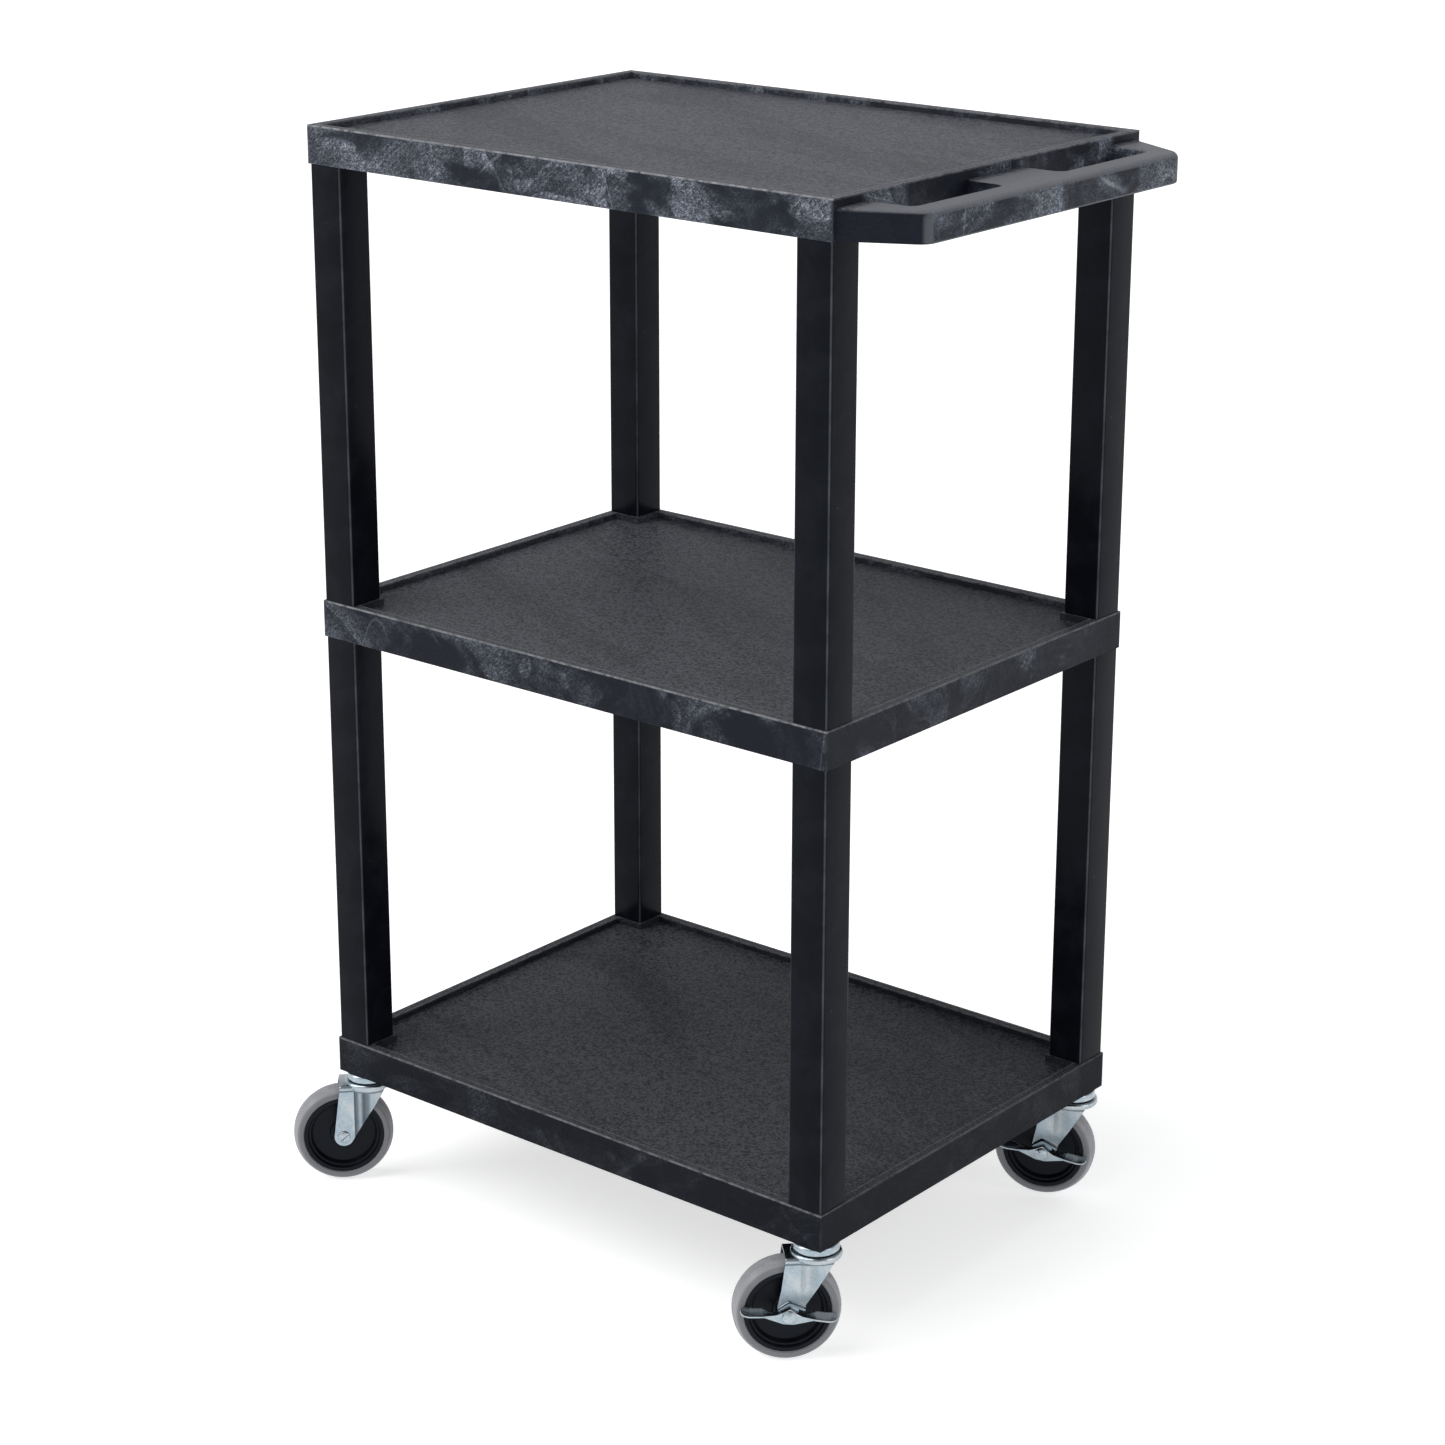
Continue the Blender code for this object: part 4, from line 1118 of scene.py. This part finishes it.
def pedal_line():
    """The pedal's front edge: long wings and a peak over the axle."""
    peak = [(-6.4 * MM, 3.1 * MM), (0.0, 7.4 * MM, 1.6 * MM), (6.4 * MM, 3.1 * MM)]
    peak = rounded(peak, 6, closed=False)[1:-1]
    wing = [(6.4, 3.1, 0), (12.5, 0.5, 7.0), (25.0, -1.6, 14.0), (36.5, -2.4, 12.0), (44.3, -1.0, 0)]
    right = rounded([(u * MM, v * MM, r * MM) for u, v, r in wing], 5, closed=False)
    tip = right[-1][0]
    near_tip = {round(tip - 4.4 * MM * (k / 8) ** 2, 7) for k in range(9)}
    fine = sorted({round(u, 7) for u, _ in right} | near_tip)
    right = [(u, float(np.interp(u, *zip(*right)))) for u in fine]
    left = [(-u, v) for u, v in reversed(right)]
    return left + peak + right


def brake_pedal(name, place):
    """A stamped rocker: wings that slope up towards the wheel, a folded-down web and a hole for the axle."""
    line = pedal_line()
    tip = max(u for u, _ in line)
    bm = bmesh.new()
    rows = []
    for u, v in line:
        past = max(PEDAL_CURL - (tip - abs(u)), 0.0)
        pinch = PEDAL_CURL - math.sqrt(max(PEDAL_CURL**2 - past**2, 0.0))
        clear = progress(abs(u), PEDAL_CLEAR[1], PEDAL_CLEAR[0])
        inner = FORK_INNER + (FORK_OUTER + 0.6 * MM - FORK_INNER) * clear * clear * (3 - 2 * clear)
        slope = progress(abs(u), *PEDAL_SLOPE) * PEDAL_RISE
        row = []
        for k in range(7):
            share = k / 6
            y = inner + pinch + (PEDAL_OUTER - pinch - inner - pinch) * share
            inward = (PEDAL_OUTER - y) / (PEDAL_OUTER - FORK_INNER)
            row.append(bm.verts.new((u, y, v + PEDAL_T / 2 + slope * inward**1.4)))
        rows.append(row)
    for first, second in zip(rows, rows[1:]):
        stitch(bm, first, second, closed=False)
    strip = piece(name, bm, ZINC)
    solidify(strip, PEDAL_T)
    bevel(strip, 0.4 * MM, 2, angle=50)
    bake(strip)
    upper = [(u, v) for u, v in line if abs(u) <= PEDAL_WEB_HALF]
    low = [upper[-1], (4.5 * MM, -7.4 * MM, 3.0 * MM), (-4.5 * MM, -7.4 * MM, 3.0 * MM), upper[0]]
    low = rounded(low, 4, closed=False)
    front = PEDAL_OUTER - 0.8 * MM
    web = piece("web", slab(upper + low[1:-1], front - PEDAL_T, front, "Y"), ZINC)
    bevel(web, 0.4 * MM, 2, angle=50)
    axle_hole(web, 0.0, 0.0)
    join(strip, [web])
    strip.matrix_world = place @ Matrix.Rotation(-PEDAL_TILT, 4, "Y")
    return strip


def caster(where):
    """One caster's pieces, in their places on their bodies."""
    swivel, roll = JOINTS[f"swivel_{where}"], JOINTS[f"roll_{where}"]
    pivot, axle, axis = Vector(swivel["pos_m"]), Vector(roll["pos_m"]), Vector(roll["axis"])
    trail = (axle - pivot).xy.length
    turn = Matrix.Rotation(math.atan2(axis.y, axis.x) - math.pi / 2, 4, "Z")
    upright = Matrix.Translation((pivot.x, pivot.y, 0.0)) @ turn
    hung = Matrix.Translation(axle) @ turn
    braked = where in BRAKED
    on_swivel, on_wheel = f"swivel_{where}", f"wheel_{where}"

    def stand_in(part, kind, shape, place, body):
        """A piece that takes the place of one CAD part."""
        material, slot = LOOKS[kind]
        obj = piece(f"{part}_{where}_{kind}", shape, material, place)
        stands_for(obj, body, slot, f"{part}_{where}")

    stand_in("caster_stem", "steel", stem(), upright, "cart")
    balls = piece(f"race_balls_{where}", ball_ring(), ZINC, upright)
    stands_for(balls, on_swivel, "zinc_steel", f"ball_race_{where}")
    body = fork(f"fork_{where}_steel", trail, braked, upright)
    stands_for(body, on_swivel, "zinc_steel", f"fork_{where}")
    bolt = axle_bolt(f"axle_bolt_{where}_steel", braked, hung)
    stands_for(bolt, on_swivel, "zinc_steel", f"axle_bolt_{where}")
    stand_in("axle_nut", "steel", axle_nut(), hung, on_swivel)
    stand_in("wheel_bushing", "steel", bushing(), hung, on_swivel)
    stand_in("wheel_hub", "nylon", hub(), hung, on_wheel)
    stand_in("tyre", "rubber", tyre(), hung, on_wheel)
    if braked:
        pedal = brake_pedal(f"brake_pedal_{where}_steel", hung)
        stands_for(pedal, f"pedal_{where}", "zinc_steel", f"brake_pedal_{where}")


def repaint_kept_nodes():
    """The pieces inside the stem sockets keep their CAD shapes."""
    for where in CORNERS:
        for kind in ("stem_socket", "grip_ring"):
            kept = frame["nodes"][f"{kind}_{where}"]
            kept.data.materials.clear()
            kept.data.materials.append(ZINC)


# ---- stage


def camera():
    """The camera, at the photograph's viewing angle and framing."""
    data = bpy.data.cameras.new("camera")
    data.sensor_width = 36.0
    data.lens = LENS
    data.shift_x, data.shift_y = LENS_SHIFT
    data.clip_end = 200.0
    azimuth, elevation, roll = (math.radians(angle) for angle in (AZIMUTH, ELEVATION, ROLL))
    level = math.cos(elevation)
    back = Vector((math.sin(azimuth) * level, -math.cos(azimuth) * level, math.sin(elevation)))
    made = bpy.data.objects.new("camera", data)
    made.rotation_mode = "QUATERNION"
    made.rotation_quaternion = (-back).to_track_quat("-Z", "Y") @ Euler((0, 0, roll)).to_quaternion()
    made.location = CAMERA_PLACE
    bpy.context.scene.collection.objects.link(made)
    bpy.context.scene.camera = made


def light(name, kind, towards, power):
    """A lamp that shines along a direction."""
    data = bpy.data.lights.new(name, kind)
    data.energy = power
    made = bpy.data.objects.new(name, data)
    made.rotation_euler = towards.to_track_quat("-Z", "Y").to_euler()
    bpy.context.scene.collection.objects.link(made)
    return made


def softbox(name, spot, size, power):
    """An area light that faces the cart's middle."""
    made = light(name, "AREA", Vector((0, 0, 0.5)) - Vector(spot), power)
    made.location = spot
    made.data.shape = "RECTANGLE"
    made.data.size, made.data.size_y = size


def floor():
    """A pale, matt floor."""
    s = look("floor_paint")
    s.feed("Base Color", s.blend(s.noise(s.place, 3.0, 3.0), (0.78, 0.78, 0.78), (0.80, 0.80, 0.80)))
    s.set(roughness=0.9, specular_ior_level=0.1)
    s.set(emission_color=(1.0, 1.0, 1.0, 1.0), emission_strength=0.58)
    sheet = bmesh.new()
    bmesh.ops.create_grid(sheet, x_segments=2, y_segments=2, size=60.0)
    piece("floor", sheet, s.owner)


def sky():
    """A white surround that is dimmer overhead than at the horizon."""
    world = bpy.data.worlds.new("studio")
    s = Look(world, "Background")
    height = s.split(s.coordinates["Generated"])[2]
    s.set(color=(0.97, 0.98, 1.0, 1.0))
    s.feed("Strength", s.remap(height, 0.08, 0.75, 1.06, 0.34))
    bpy.context.scene.world = world


def studio():
    """A pale floor under soft, nearly even light."""
    floor()
    sky()
    light("softbox_sun", "SUN", Vector((0.55, 0.75, -1.5)), 1.35).data.angle = math.radians(50)
    softbox("left_softbox", (-2.2, -2.6, 1.9), (1.4, 2.4), 26.0)
    softbox("right_softbox", (3.0, 0.4, 1.7), (1.2, 2.2), 12.0)
    bpy.context.scene.view_settings.view_transform = "Standard"


for seed, (level, painted_light) in enumerate(SHELF_PAINTED_LIGHT.items(), 1):
    shelf(level, seed, painted_light)
for tier in ("lower", "upper"):
    for corner in CORNERS:
        leg(f"{tier}_leg_{corner}")
for corner in CORNERS:
    caster(corner)
repaint_kept_nodes()
camera()
studio()
